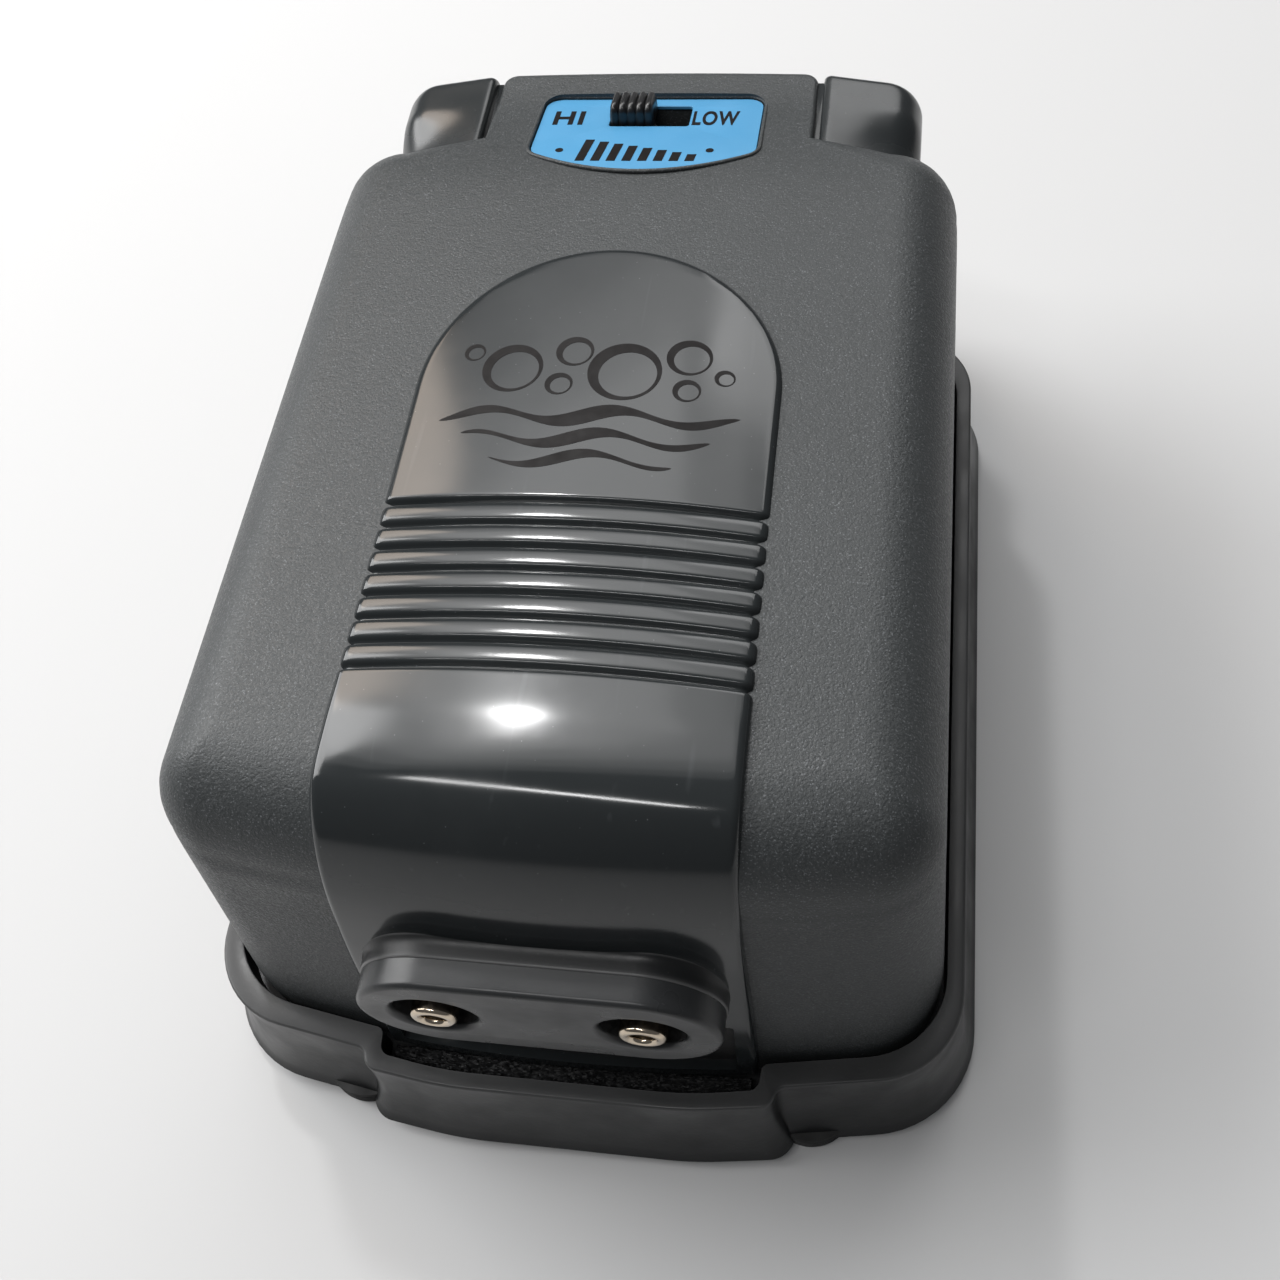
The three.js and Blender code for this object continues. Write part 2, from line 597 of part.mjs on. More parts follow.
// ---- Electromagnet -----------------------------------------------------------------
function magnetCore() {
  const low = CORE_Z - CORE_STACK / 2;
  const high = CORE_Z + CORE_STACK / 2;
  const ends = [CORE_Y - CORE_HALF, CORE_Y + CORE_HALF];
  const limb = box(-POLE_X, POLE_X, CORE_Y - LIMB_HALF, CORE_Y + LIMB_HALF, low, high);
  const left = box(-POLE_X, POLE_WIDTH - POLE_X, ...ends, low, high);
  const right = box(POLE_X - POLE_WIDTH, POLE_X, ...ends, low, high);
  return toGeometry(sum(limb, left, right));
}

const around = (x, deep, tall) => box(-x, x, CORE_Y - deep, CORE_Y + deep, CORE_Z - tall, CORE_Z + tall);
const LIMB_TALL = CORE_STACK / 2;
function coilBobbin() {
  const reach = POLE_X - POLE_WIDTH - GAP;
  const tube = around(reach, LIMB_HALF + 1.5, LIMB_TALL + 1.5);
  const flanges = less(around(reach, 13, 16), around(reach - 1.2, 20, 20));
  return toGeometry(less(sum(tube, flanges), around(20, LIMB_HALF + GAP, LIMB_TALL + GAP)));
}
function coilWinding() {
  const reach = POLE_X - POLE_WIDTH - 1.2 - 2 * GAP;
  const gapAround = around(20, LIMB_HALF + 1.5 + GAP, LIMB_TALL + 1.5 + GAP);
  return toGeometry(less(around(reach, 12, 15), gapAround));
}
function coreFrame() {
  const low = FLOOR_TOP + GAP;
  const coreLow = CORE_Z - CORE_STACK / 2 - GAP;
  let frame = box(-21, 21, CORE_Y - 23, CORE_Y + 23, low, low + 1.5);
  for (const side of [-1, 1]) {
    const [a, b] = [side * (POLE_X - POLE_WIDTH + 0.5), side * (POLE_X - 0.5)].sort((p, q) => p - q);
    const rail = box(a, b, CORE_Y - CORE_HALF, CORE_Y + CORE_HALF, low, coreLow);
    const frontTab = box(a, b, CORE_Y - 21, CORE_Y - CORE_HALF - GAP, low, CORE_Z);
    const rearTab = box(a, b, CORE_Y + CORE_HALF + GAP, CORE_Y + 21, low, CORE_Z);
    frame = less(sum(frame, rail, frontTab, rearTab), bar('z', 1.7, 0, 20, side * 18, CORE_Y, 12));
  }
  const hollow = box(-6, 6, CORE_Y - 16, CORE_Y + 16, 0, coreLow);
  return toGeometry(less(frame, hollow));
}

// ---- Pumping unit, drawn on the +X side --------------------------------------------
function swingArm() {
  const plate = box(ARM_X, ARM_X + ARM_THICK, PIVOT_Y, CORE_Y + 14, ARM_LOW, ARM_HIGH);
  const barrel = bar('z', 4, ARM_LOW, ARM_HIGH, ARM_X + ARM_THICK / 2, PIVOT_Y, 20);
  const boss = bar('x', 6, ARM_X, 27.6, UNIT_Y, UNIT_Z, 20);
  const bore = bar('z', PIVOT_RADIUS + 0.2, 0, 60, ARM_X + ARM_THICK / 2, PIVOT_Y, 16);
  return toGeometry(less(sum(plate, barrel, boss), bore, bar('x', 1.7, 0, 40, UNIT_Y, UNIT_Z, 14)));
}

const pivotPost = () => turned('z', [
  [0, FLOOR_TOP + GAP], [5, FLOOR_TOP + GAP], [5, FLOOR_TOP + 2], [PIVOT_RADIUS, FLOOR_TOP + 2],
  [PIVOT_RADIUS, ARM_HIGH + 3], [0, ARM_HIGH + 3],
], 16).translate(ARM_X + ARM_THICK / 2, PIVOT_Y, 0);

const magnet = () => boxGeometry(
  ARM_X - GAP - 3.2, ARM_X - GAP, CORE_Y - 9, CORE_Y + 9, ARM_LOW, ARM_HIGH,
);

const inUnit = (geometry) => geometry.translate(0, UNIT_Y, UNIT_Z);

// Rubber diaphragm: clamped rim, one rolled fold and a flat middle.
function diaphragm() {
  const fold = (offset) => Array.from({ length: 4 }, (_, i) => {
    const a = Math.PI * (i / 3);
    return [11 - 2.6 * Math.cos(a), 28.7 + offset - 1.3 * Math.sin(a)];
  });
  const rim = [[14, 28.7], [17, 28.7], [17, 30.7], [14, 30.7]];
  return inUnit(turned('x', [[1.8, 27.9], ...fold(0), ...rim, ...fold(1).reverse(), [1.8, 29.5]], 16));
}

const clampBolt = () => inUnit(turned('x', [
  [0, 19.4], [1.4, 19.4], [1.4, 29.8], [6, 29.8], [6, 30.8], [3, 31.4], [0, 31.4],
], 16));

const clampNut = () => inUnit(turned('x', [[1.7, 20], [3.2, 20], [3.2, ARM_X - GAP], [1.7, ARM_X - GAP]], 6));

const clampRing = () => inUnit(turned('x', [
  [13.6, 26.2], [UNIT_RADIUS, 26.2], [UNIT_RADIUS, 28.4], [13.6, 28.4],
], 18));

function chamber() {
  const cup = bar('x', UNIT_RADIUS, CHAMBER_X, CHAMBER_BACK, UNIT_Y, UNIT_Z, 20);
  const hollow = bar('x', 13.5, 0, CHAMBER_FLOOR, UNIT_Y, UNIT_Z, 18);
  const inlet = bar('x', PORT_RADIUS, 0, 60, UNIT_Y, UNIT_Z + PORT_OFFSET, 14);
  const outlet = bar('x', PORT_RADIUS, 0, 60, UNIT_Y, UNIT_Z - PORT_OFFSET, 14);
  return toGeometry(less(cup, hollow, inlet, outlet));
}

// Cover over the ports, split into an inlet side above and an outlet side below.
function valveCover() {
  const low = CHAMBER_BACK + GAP;
  const high = 45;
  const cup = bar('x', UNIT_RADIUS, low, high, UNIT_Y, UNIT_Z, 20);
  const barb = bar('y', 1.8, UNIT_Y - UNIT_RADIUS - 2.4, UNIT_Y - 10, BARB_X, BARB_Z, 14);
  const hollow = bar('x', 15.5, 0, high - 1.5, UNIT_Y, UNIT_Z, 18);
  const divider = box(low, high - 1, UNIT_Y - 17, UNIT_Y + 17, UNIT_Z - 0.7, UNIT_Z + 0.7);
  const intake = bar('z', 1.8, UNIT_Z + 8, 60, BARB_X, UNIT_Y, 12);
  const airway = bar('y', 1.2, -60, UNIT_Y - 8, BARB_X, BARB_Z, 12);
  return toGeometry(less(sum(less(cup, hollow), divider, less(barb, hollow)), intake, airway));
}

const FLAP = { half: 3.6, tall: 7.6, thick: 0.8 };
function flapAt(x, top) {
  const flap = new THREE.BoxGeometry(FLAP.thick, 2 * FLAP.half, FLAP.tall);
  return flap.translate(x + FLAP.thick / 2, UNIT_Y, top - FLAP.tall / 2);
}
const inletFlap = () => flapAt(CHAMBER_FLOOR - GAP - FLAP.thick, UNIT_Z + PORT_OFFSET + 4);
const outletFlap = () => flapAt(CHAMBER_BACK + GAP, UNIT_Z - PORT_OFFSET + 4);

// ---- Air filter in the base --------------------------------------------------------
const filterFelt = () => barGeometry('z', 11, 3.9, FLOOR_LOW - GAP, 0, FILTER_Y, 16);
function filterCover() {
  let cap = bar('z', 11.7, SKIRT_Z + 0.2, 3.6, 0, FILTER_Y, 18);
  for (const y of [-5, 0, 5]) cap = less(cap, box(-6, 6, FILTER_Y + y - 0.9, FILTER_Y + y + 0.9, 0, 9));
  return toGeometry(cap);
}

// ---- Assembly ----------------------------------------------------------------------
const MATERIALS = {
  shell: [0x3c4143, 0.62, 0],
  gloss: [0x34393b, 0.22, 0],
  tray: [0x1d1f20, 0.45, 0],
  rubber: [0x161616, 0.8, 0],
  chrome: [0xd8d8da, 0.12, 1],
  steel: [0xa9abad, 0.35, 1],
  label: [0x5fb2e6, 0.4, 0],
  knob: [0x121212, 0.5, 0],
  copper: [0xb5652d, 0.3, 1],
  bobbin: [0xd9d3c0, 0.5, 0],
  ferrite: [0x3a3634, 0.6, 0.3],
  board: [0x8a6b35, 0.6, 0],
  brass: [0xc8a24a, 0.3, 1],
  hose: [0xd7d9d2, 0.4, 0],
  felt: [0xe6e3d8, 0.95, 0],
};

const pump = new THREE.Group();
function add(name, geometry, material) {
  const [color, roughness, metalness] = MATERIALS[material];
  const mesh = new THREE.Mesh(geometry, new THREE.MeshStandardMaterial({ color, roughness, metalness }));
  mesh.name = name;
  pump.add(mesh);
  return mesh;
}

add('base_tray', baseTray(), 'tray');
add('top_cover', topCover(), 'shell');
add('centre_strip', centreStrip(), 'gloss');
add('rear_bumper', rearBumper(), 'gloss');
add('cord_gland', cordGland().translate(0, 0, GLAND_Z), 'rubber');
add('outlet_block', outletBlock(), 'rubber');
add('label_plate', labelPlate(), 'label');
add('speed_knob', speedKnob(), 'knob');
add('switch_body', switchBody(), 'knob');
add('switch_contact', switchContact(), 'brass');
add('control_board', controlBoard(), 'board');
add('diode', diode(), 'knob');
add('magnet_core', magnetCore(), 'steel');
add('coil_bobbin', coilBobbin(), 'bobbin');
add('coil_winding', coilWinding(), 'copper');
add('core_frame', coreFrame(), 'steel');
add('filter_felt', filterFelt(), 'felt');
add('filter_cover', filterCover(), 'tray');

const PAIRS = [
  ['outlet_nozzle', () => nozzle().translate(OUTLET_X, 0, OUTLET_Z), 'chrome'],
  ['air_hose', hose, 'hose'],
  ['swing_arm', swingArm, 'steel'],
  ['pivot_post', pivotPost, 'steel'],
  ['arm_magnet', magnet, 'ferrite'],
  ['diaphragm', diaphragm, 'rubber'],
  ['clamp_bolt', clampBolt, 'steel'],
  ['clamp_nut', clampNut, 'brass'],
  ['clamp_ring', clampRing, 'knob'],
  ['chamber', chamber, 'knob'],
  ['valve_cover', valveCover, 'knob'],
  ['inlet_flap', inletFlap, 'rubber'],
  ['outlet_flap', outletFlap, 'rubber'],
  ['frame_screw', () => screw(3, 10.7, 12.7, 1.2, FLOOR_LOW - 1, true).translate(18, CORE_Y, 0), 'steel'],
];
for (const [name, make, material] of PAIRS) {
  add(`${name}_right`, make(), material);
  add(`${name}_left`, mirroredX(make()), material);
}
const CORNERS = ['front', 'rear'];
for (const [i, end] of CORNERS.entries()) {
  for (const [side, hand] of [[1, 'right'], [-1, 'left']]) {
    const [footX, footY] = FOOT_PLACES[i];
    const [postX, postY] = SCREW_POSTS[i];
    add(`foot_${end}_${hand}`, foot(), 'rubber').position.set(side * footX, footY, 0);
    const caseScrew = screw(3, 4.7, 6.7, 1.2, 22, false);
    add(`case_screw_${end}_${hand}`, caseScrew, 'steel').position.set(side * postX, postY, 0);
  }
}

export default pump;
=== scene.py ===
"""Looks of the two-outlet air pump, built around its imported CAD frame.

Lengths in this script are millimetres until mesh_piece() writes them in metres.
"""
import json
import math

import bmesh
import bpy
import numpy as np
from mathutils import Euler, Matrix, Vector


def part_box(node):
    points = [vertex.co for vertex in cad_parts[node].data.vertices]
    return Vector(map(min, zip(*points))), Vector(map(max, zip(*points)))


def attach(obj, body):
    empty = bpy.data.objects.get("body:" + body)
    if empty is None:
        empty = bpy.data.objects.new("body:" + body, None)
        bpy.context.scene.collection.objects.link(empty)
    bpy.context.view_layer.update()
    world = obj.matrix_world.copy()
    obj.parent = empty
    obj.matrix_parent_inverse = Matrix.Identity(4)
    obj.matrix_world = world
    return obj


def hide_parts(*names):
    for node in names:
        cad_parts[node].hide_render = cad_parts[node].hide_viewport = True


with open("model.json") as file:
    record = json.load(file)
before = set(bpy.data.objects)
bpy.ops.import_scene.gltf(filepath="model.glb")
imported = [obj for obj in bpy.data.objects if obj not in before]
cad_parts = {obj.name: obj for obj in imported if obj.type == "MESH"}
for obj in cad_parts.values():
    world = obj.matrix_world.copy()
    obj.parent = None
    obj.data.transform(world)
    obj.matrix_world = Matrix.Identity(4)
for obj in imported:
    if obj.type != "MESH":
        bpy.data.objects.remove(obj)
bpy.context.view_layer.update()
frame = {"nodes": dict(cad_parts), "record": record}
MM = 0.001


def box_mm(node):
    low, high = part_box(node)
    return [v / MM for v in low], [v / MM for v in high]


# ---- Sizes taken from the frame ------------------------------------------------------
TRAY_LOW, TRAY_HIGH = box_mm("base_tray")
COVER_LOW, COVER_HIGH = box_mm("top_cover")
STRIP_HIGH = box_mm("centre_strip")[1]
BUMPER_LOW, BUMPER_HIGH = box_mm("rear_bumper")
BLOCK_LOW, BLOCK_HIGH = box_mm("outlet_block")
LABEL_HIGH = box_mm("label_plate")[1]
KNOB_LOW, KNOB_HIGH = box_mm("speed_knob")

RIM_Z = TRAY_HIGH[2]
SKIRT_Z = TRAY_LOW[2]
COVER_HALF = COVER_HIGH[0]
TONGUE_REAR = COVER_HIGH[1]
TONGUE_HALF = 25.6
TONGUE_LOW = 56.0
STRIP_HALF = STRIP_HIGH[0]
EAR_HALF = BUMPER_HIGH[0]
BUMPER_REAR = BUMPER_HIGH[1]
SLIT = 0.9

# ---- The housing's shape -------------------------------------------------------------
FRONT_Y = -71.4
REAR_Y = 59.9
CORNER = 13.0
BOW = 230.0
SIDE_DRAFT, FRONT_DRAFT, REAR_DRAFT = 0.0644, 0.112, 0.045
SIDE_ROUND, FRONT_ROUND, REAR_ROUND = 10.2, 12.6, 1.3
TONGUE_SIDE_ROUND, TONGUE_REAR_ROUND = 0.9, 1.9
EAR_LINE_SLOPE = 1.8  # how far the rear edge comes forward beside the tongue
TOP_FRONT_Y, TOP_FRONT_Z = -50.0, 72.2
SLOPE_Y, TOP_REAR_Z = 47.0, 71.1
TONGUE_Z = 67.1
LABEL_TILT = 0.206
CROWN, CROWN_HALF = 0.8, 38.0
STRIP_DOME_Y = 2.5
EDGE_ROUND = 1.1


def smooth_step(value):
    value = np.clip(value, 0, 1)
    return value * value * (3 - 2 * value)


def top_line(y):
    """Height of the matte top along its middle."""
    y = np.asarray(y, float)
    along = np.clip((y - TOP_FRONT_Y) / (SLOPE_Y - TOP_FRONT_Y), 0, 1)
    flat = TOP_FRONT_Z + (TOP_REAR_Z - TOP_FRONT_Z) * along
    soft = 3.0
    past = (y - SLOPE_Y) / soft
    ramp = soft * np.where(past > 20, past, np.log1p(np.exp(np.clip(past, -30, 20))))
    level = flat - math.tan(LABEL_TILT) * ramp
    return TONGUE_Z + 0.35 * np.log1p(np.exp(np.clip((level - TONGUE_Z) / 0.35, -30, 30)))


def top_z(x, y):
    return top_line(y) - CROWN * np.minimum(1.2, (np.asarray(x) / CROWN_HALF) ** 2)


# ---- Mesh helpers --------------------------------------------------------------------
def mesh_piece(name, points, faces, body="housing", sharp_deg=40.0):
    """A smooth-shaded mesh piece from millimetre points, sharp where its faces turn fast."""
    mesh = bpy.data.meshes.new(name)
    mesh.from_pydata([tuple(c * MM for c in p) for p in points], [], faces)
    piece = bpy.data.objects.new(name, mesh)
    bpy.context.collection.objects.link(piece)
    finish_mesh(piece, sharp_deg)
    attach(piece, body)
    return piece


def finish_mesh(piece, sharp_deg=40.0, merge=1e-7):
    work = bmesh.new()
    work.from_mesh(piece.data)
    bmesh.ops.remove_doubles(work, verts=work.verts, dist=merge)
    bmesh.ops.dissolve_degenerate(work, edges=work.edges, dist=merge)
    bmesh.ops.recalc_face_normals(work, faces=work.faces)
    limit = math.radians(sharp_deg)
    for face in work.faces:
        face.smooth = True
    for edge in work.edges:
        edge.smooth = not (len(edge.link_faces) == 2 and edge.calc_face_angle(0) > limit)
    work.to_mesh(piece.data)
    work.free()


def strip_faces(rings, around, start=0, wrap=True):
    """Quads between rings of points, stacked one after the other."""
    faces = []
    last = around if wrap else around - 1
    for j in range(rings - 1):
        base = start + j * around
        for i in range(last):
            k = (i + 1) % around
            faces.append((base + i, base + k, base + around + k, base + around + i))
    return faces


def lofted(rings, closed_ends=(True, True)):
    """Points and faces through rings of equal length; a closed end gets a fan."""
    around = len(rings[0])
    points = [tuple(p) for ring in rings for p in ring]
    faces = strip_faces(len(rings), around)
    for end, closed in zip((0, -1), closed_ends):
        if closed:
            start = 0 if end == 0 else (len(rings) - 1) * around
            points.append(tuple(np.mean(rings[end], axis=0)))
            middle = len(points) - 1
            faces += [(start + i, start + (i + 1) % around, middle) for i in range(around)]
    return points, faces


def slab_between(top, under):
    """Points and faces of the closed slab between two equal grids of points."""
    deep, wide = top.shape[:2]
    offset = deep * wide
    faces = strip_faces(deep, wide, 0, False)
    faces += [f[::-1] for f in strip_faces(deep, wide, offset, False)]
    border = list(range(wide)) + [j * wide + wide - 1 for j in range(1, deep)]
    border += [(deep - 1) * wide + i for i in range(wide - 2, -1, -1)]
    border += [j * wide for j in range(deep - 2, 0, -1)]
    for k, a in enumerate(border):
        b = border[(k + 1) % len(border)]
        faces.append((b, a, a + offset, b + offset))
    points = np.concatenate([top.reshape(-1, 3), under.reshape(-1, 3)])
    return [tuple(p) for p in points], faces


def curve_solid(curve):
    """Points and faces of a curve's solid, in the curve's own units; the curve is dropped."""
    holder = bpy.data.objects.new(curve.name, curve)
    bpy.context.collection.objects.link(holder)
    bpy.context.view_layer.update()
    mesh = bpy.data.meshes.new_from_object(holder)
    bpy.data.objects.remove(holder)
    bpy.data.curves.remove(curve)
    points = np.array([v.co for v in mesh.vertices])
    faces = [tuple(p.vertices) for p in mesh.polygons]
    bpy.data.meshes.remove(mesh)
    return points, faces


def turned(name, profile, axis, centre, body="housing", around=64, sharp_deg=40.0):
    """A lathed piece from (radius, place along the axis) pairs that close on themselves."""
    rings = []
    for i in range(around):
        a = 2 * math.pi * i / around
        c, s = math.cos(a), math.sin(a)
        make = {
            "x": lambda r, t: (t, r * c, r * s),
            "y": lambda r, t: (r * c, t, r * s),
            "z": lambda r, t: (r * c, r * s, t),
        }[axis]
        rings.append([tuple(np.add(make(r, t), centre)) for r, t in profile])
    points = [p for ring in rings for p in ring]
    count = len(profile)
    faces = []
    for i in range(around):
        j = (i + 1) % around
        for k in range(count):
            m = (k + 1) % count
            faces.append((i * count + k, i * count + m, j * count + m, j * count + k))
    return mesh_piece(name, points, faces, body, sharp_deg)


def arc(centre, radius, start_deg, end_deg, steps):
    """Points on an arc, as (u, v) pairs."""
    angles = np.radians(np.linspace(start_deg, end_deg, steps))
    return [(centre[0] + radius * math.cos(a), centre[1] + radius * math.sin(a)) for a in angles]


def rounded_outline(corners, grow=0.0, arc_steps=10, line_steps=4):
    """A closed outline round corners given as (x, y, radius), counter-clockwise.

    Growing it moves its sides outward; round outer corners grow and inner ones shrink.
    Neighbouring roundings are made smaller where they wouldn't fit on their side.
    """
    places = np.array([c[:2] for c in corners], float)
    along = np.roll(places, -1, axis=0) - places
    along /= np.linalg.norm(along, axis=1)[:, None]
    after = np.column_stack([along[:, 1], -along[:, 0]])
    before = np.roll(after, 1, axis=0)
    lean = np.sum(before * after, axis=1)
    bend = np.sign(before[:, 0] * after[:, 1] - before[:, 1] * after[:, 0])
    mitre = (before + after) / (1 + lean)[:, None]
    places = places + mitre * grow
    half = np.arccos(np.clip(lean, -1, 1)) / 2
    radius = np.maximum(np.array([c[2] for c in corners]) + grow * bend, 0.35)
    reach = radius * np.tan(half)
    side = np.linalg.norm(np.roll(places, -1, axis=0) - places, axis=1)
    fit = np.minimum(1, 0.97 * side / (reach + np.roll(reach, -1)))
    radius = radius * np.minimum(fit, np.roll(fit, 1))
    points = []
    for i, place in enumerate(places):
        centre = place - bend[i] * mitre[i] * radius[i]
        start = math.atan2(bend[i] * before[i, 1], bend[i] * before[i, 0])
        for k in range(arc_steps + 1):
            a = start + bend[i] * 2 * half[i] * k / arc_steps
            points.append(centre + radius[i] * np.array([math.cos(a), math.sin(a)]))
    dense = []
    per_corner = arc_steps + 1
    for i, p in enumerate(points):
        dense.append(p)
        if i % per_corner == per_corner - 1:
            q = points[(i + 1) % len(points)]
            dense += [p + (q - p) * k / line_steps for k in range(1, line_steps)]
    return np.array(dense)


def box_corners(half, low, high, radius):
    """Corners of a round-cornered box, mirror-symmetric and counter-clockwise."""
    return [(half, low, radius), (half, high, radius), (-half, high, radius), (-half, low, radius)]


def mirrored_corners(right):
    """Corners of a mirror-symmetric outline from those of its right half, front to rear."""
    return right + [(-x, y, r) for x, y, r in reversed(right)]


def at_height(outline, z):
    return [(x, y, z) for x, y in outline]


# ---- Materials -----------------------------------------------------------------------
class Nodes:
    """A short way to write a node material round one Principled shader."""

    def __init__(self, name, color, roughness, metallic=0.0, **sockets):
        self.material = bpy.data.materials.new(name)
        self.material.use_nodes = True
        self.tree = self.material.node_tree
        self.shader = self.tree.nodes["Principled BSDF"]
        self.color = tuple(color)
        self.set("Base Color", (*color, 1))
        self.set("Roughness", roughness)
        self.set("Metallic", metallic)
        for key, value in sockets.items():
            self.set(key.replace("_", " "), value)
        self.place = self.tree.nodes.new("ShaderNodeTexCoord").outputs["Object"]
        self.bump = None

    def set(self, socket, value):
        self.shader.inputs[socket].default_value = value

    def node(self, kind, **inputs):
        made = self.tree.nodes.new(kind)
        for key, value in inputs.items():
            socket = made.inputs[key.replace("_", " ")]
            if hasattr(value, "is_output"):
                self.tree.links.new(value, socket)
            else:
                socket.default_value = value
        return made

    def stretched(self, scale):
        return self.node("ShaderNodeMapping", Vector=self.place, Scale=scale).outputs["Vector"]

    def noise(self, scale, detail=2.0, rough=0.5, vector=None):
        made = self.node(
            "ShaderNodeTexNoise", Vector=vector or self.place, Scale=scale, Detail=detail, Roughness=rough
        )
        return made.outputs["Fac"]

    def cells(self, scale, vector=None):
        made = self.node("ShaderNodeTexVoronoi", Vector=vector or self.place, Scale=scale)
        return made.outputs["Distance"]

    def ramp(self, value, low, high, start=0.0, end=1.0):
        made = self.node("ShaderNodeMapRange", Value=value)
        for key, number in zip(("From Min", "From Max", "To Min", "To Max"), (start, end, low, high)):
            made.inputs[key].default_value = number
        return made.outputs["Result"]

    def product(self, one, other):
        made = self.tree.nodes.new("ShaderNodeMath")
        made.operation = "MULTIPLY"
        self.tree.links.new(one, made.inputs[0])
        self.tree.links.new(other, made.inputs[1])
        return made.outputs[0]

    def tint(self, factor, other):
        """Blends the colour so far toward another one by a factor."""
        mix = self.tree.nodes.new("ShaderNodeMix")
        mix.data_type = "RGBA"
        self.tree.links.new(factor, mix.inputs["Factor"])
        link = self.shader.inputs["Base Color"].links
        if link:
            self.tree.links.new(link[0].from_socket, mix.inputs["A"])
        else:
            mix.inputs["A"].default_value = (*self.color, 1)
        mix.inputs["B"].default_value = (*other, 1)
        self.tree.links.new(mix.outputs["Result"], self.shader.inputs["Base Color"])
        return self

    def roughen(self, value, low, high, start=0.3, end=0.7):
        self.tree.links.new(self.ramp(value, low, high, start, end), self.shader.inputs["Roughness"])
        return self

    def relief(self, height, depth_mm, strength=1.0):
        bump = self.node("ShaderNodeBump", Height=height, Distance=depth_mm * MM, Strength=strength)
        if self.bump:
            self.tree.links.new(self.bump, bump.inputs["Normal"])
        self.bump = bump.outputs["Normal"]
        self.tree.links.new(self.bump, self.shader.inputs["Normal"])
        return self


def matte_shell_material():
    """Charcoal plastic with a fine spark-eroded grain that glints where light grazes it, and painted glint
    specks over all of it.
    """
    m = Nodes("matte_shell", (0.037, 0.0402, 0.0412), 0.42, Specular_IOR_Level=0.3)
    grain = m.noise(2900, 1.5, 0.6)
    coarse = m.noise(1200, 1.5)
    m.tint(m.ramp(grain, 0, 0.5, 0.5, 0.78), (0.068, 0.0725, 0.0745))
    # Painted glints: small light specks mixed into the colour, bright under any lamp.
    m.tint(m.ramp(m.noise(4600, 0.5), 0, 0.7, 0.63, 0.75), (0.14, 0.147, 0.155))
    m.tint(m.ramp(m.noise(28, 3.0), 0, 0.35, 0.35, 0.75), (0.024, 0.026, 0.0265))
    m.roughen(grain, 0.32, 0.58)
    m.relief(coarse, 0.07, 0.7).relief(grain, 0.085, 1.0)
    return m.material


def gloss_material(name="gloss_shell", smooth=0.08, hazy=0.17):
    """Polished charcoal plastic with hair scratches, haze and a little dust."""
    m = Nodes(name, (0.018, 0.0205, 0.0215), 0.11, Specular_IOR_Level=0.44)
    haze = m.noise(55, 4.0, 0.6)
    scratch_x = m.noise(420, 2.0, 0.5, m.stretched((0.05, 1.0, 1.0)))
    scratch_y = m.noise(520, 2.0, 0.5, m.stretched((1.0, 0.06, 1.0)))
    dust = m.cells(620)
    m.tint(m.ramp(haze, 0, 0.35, 0.5, 0.8), (0.031, 0.034, 0.035))
    m.tint(m.ramp(scratch_y, 0, 0.25, 0.68, 0.8), (0.07, 0.075, 0.08))
    m.tint(m.ramp(dust, 0.6, 0, 0.0, 0.06), (0.2, 0.21, 0.22))
    m.roughen(haze, smooth, hazy)
    m.relief(scratch_x, 0.004, 0.35).relief(scratch_y, 0.004, 0.3)
    m.relief(m.noise(30, 2.0), 0.04, 0.35)
    return m.material


def tray_material():
    """Near-black satin plastic, with painted highlights along its sharp edges near the rim and above it."""
    m = Nodes("tray_plastic", (0.0085, 0.009, 0.0095), 0.34, Specular_IOR_Level=0.32)
    edges = m.node("ShaderNodeNewGeometry").outputs["Pointiness"]
    m.tint(m.ramp(m.cells(900), 0.5, 0, 0.0, 0.12), (0.05, 0.05, 0.052))
    grain = m.noise(1500, 2.0)
    m.tint(m.ramp(m.noise(40, 4.0), 0, 0.4, 0.45, 0.8), (0.018, 0.019, 0.02))
    # Painted highlight: sharp edges from about rim height upward are painted lighter, standing in for lamp
    # reflections along them.
    rim_highlight_zone = m.ramp(m.node("ShaderNodeSeparateXYZ", Vector=m.place).outputs["Z"], 0, 1, 0.015, 0.018)
    m.tint(m.product(m.ramp(edges, 0, 0.7, 0.51, 0.56), rim_highlight_zone), (0.13, 0.13, 0.13))
    m.roughen(m.noise(120, 3.0), 0.28, 0.46)
    m.relief(grain, 0.03, 0.5)
    return m.material


def block_material():
    """Dark grey moulded block, satin with a fine grain."""
    m = Nodes("outlet_block", (0.021, 0.022, 0.023), 0.3, Specular_IOR_Level=0.38)
    m.tint(m.ramp(m.noise(60, 3.0), 0, 0.4, 0.4, 0.8), (0.026, 0.027, 0.028))
    m.roughen(m.noise(160, 2.0), 0.24, 0.4)
    m.relief(m.noise(1800, 2.0), 0.022, 0.5)
    return m.material


def rubber_material(name="rubber", color=(0.012, 0.012, 0.012)):
    m = Nodes(name, color, 0.7)
    m.tint(m.ramp(m.noise(90, 4.0), 0, 0.5, 0.5, 0.9), (0.03, 0.03, 0.03))
    m.roughen(m.noise(300, 2.0), 0.6, 0.85)
    m.relief(m.noise(1300, 2.0), 0.03, 0.5)
    return m.material


def gasket_material():
    """Black foam with open pores, seen in the gap under the outlets."""
    m = Nodes("foam_gasket", (0.006, 0.006, 0.0065), 0.62, Specular_IOR_Level=0.35)
    m.tint(m.ramp(m.cells(1100), 0.6, 0, 0.1, 0.3), (0.016, 0.016, 0.018))
    m.relief(m.cells(950), 0.2, 0.7).relief(m.noise(500, 4.0), 0.2, 0.6)
    return m.material


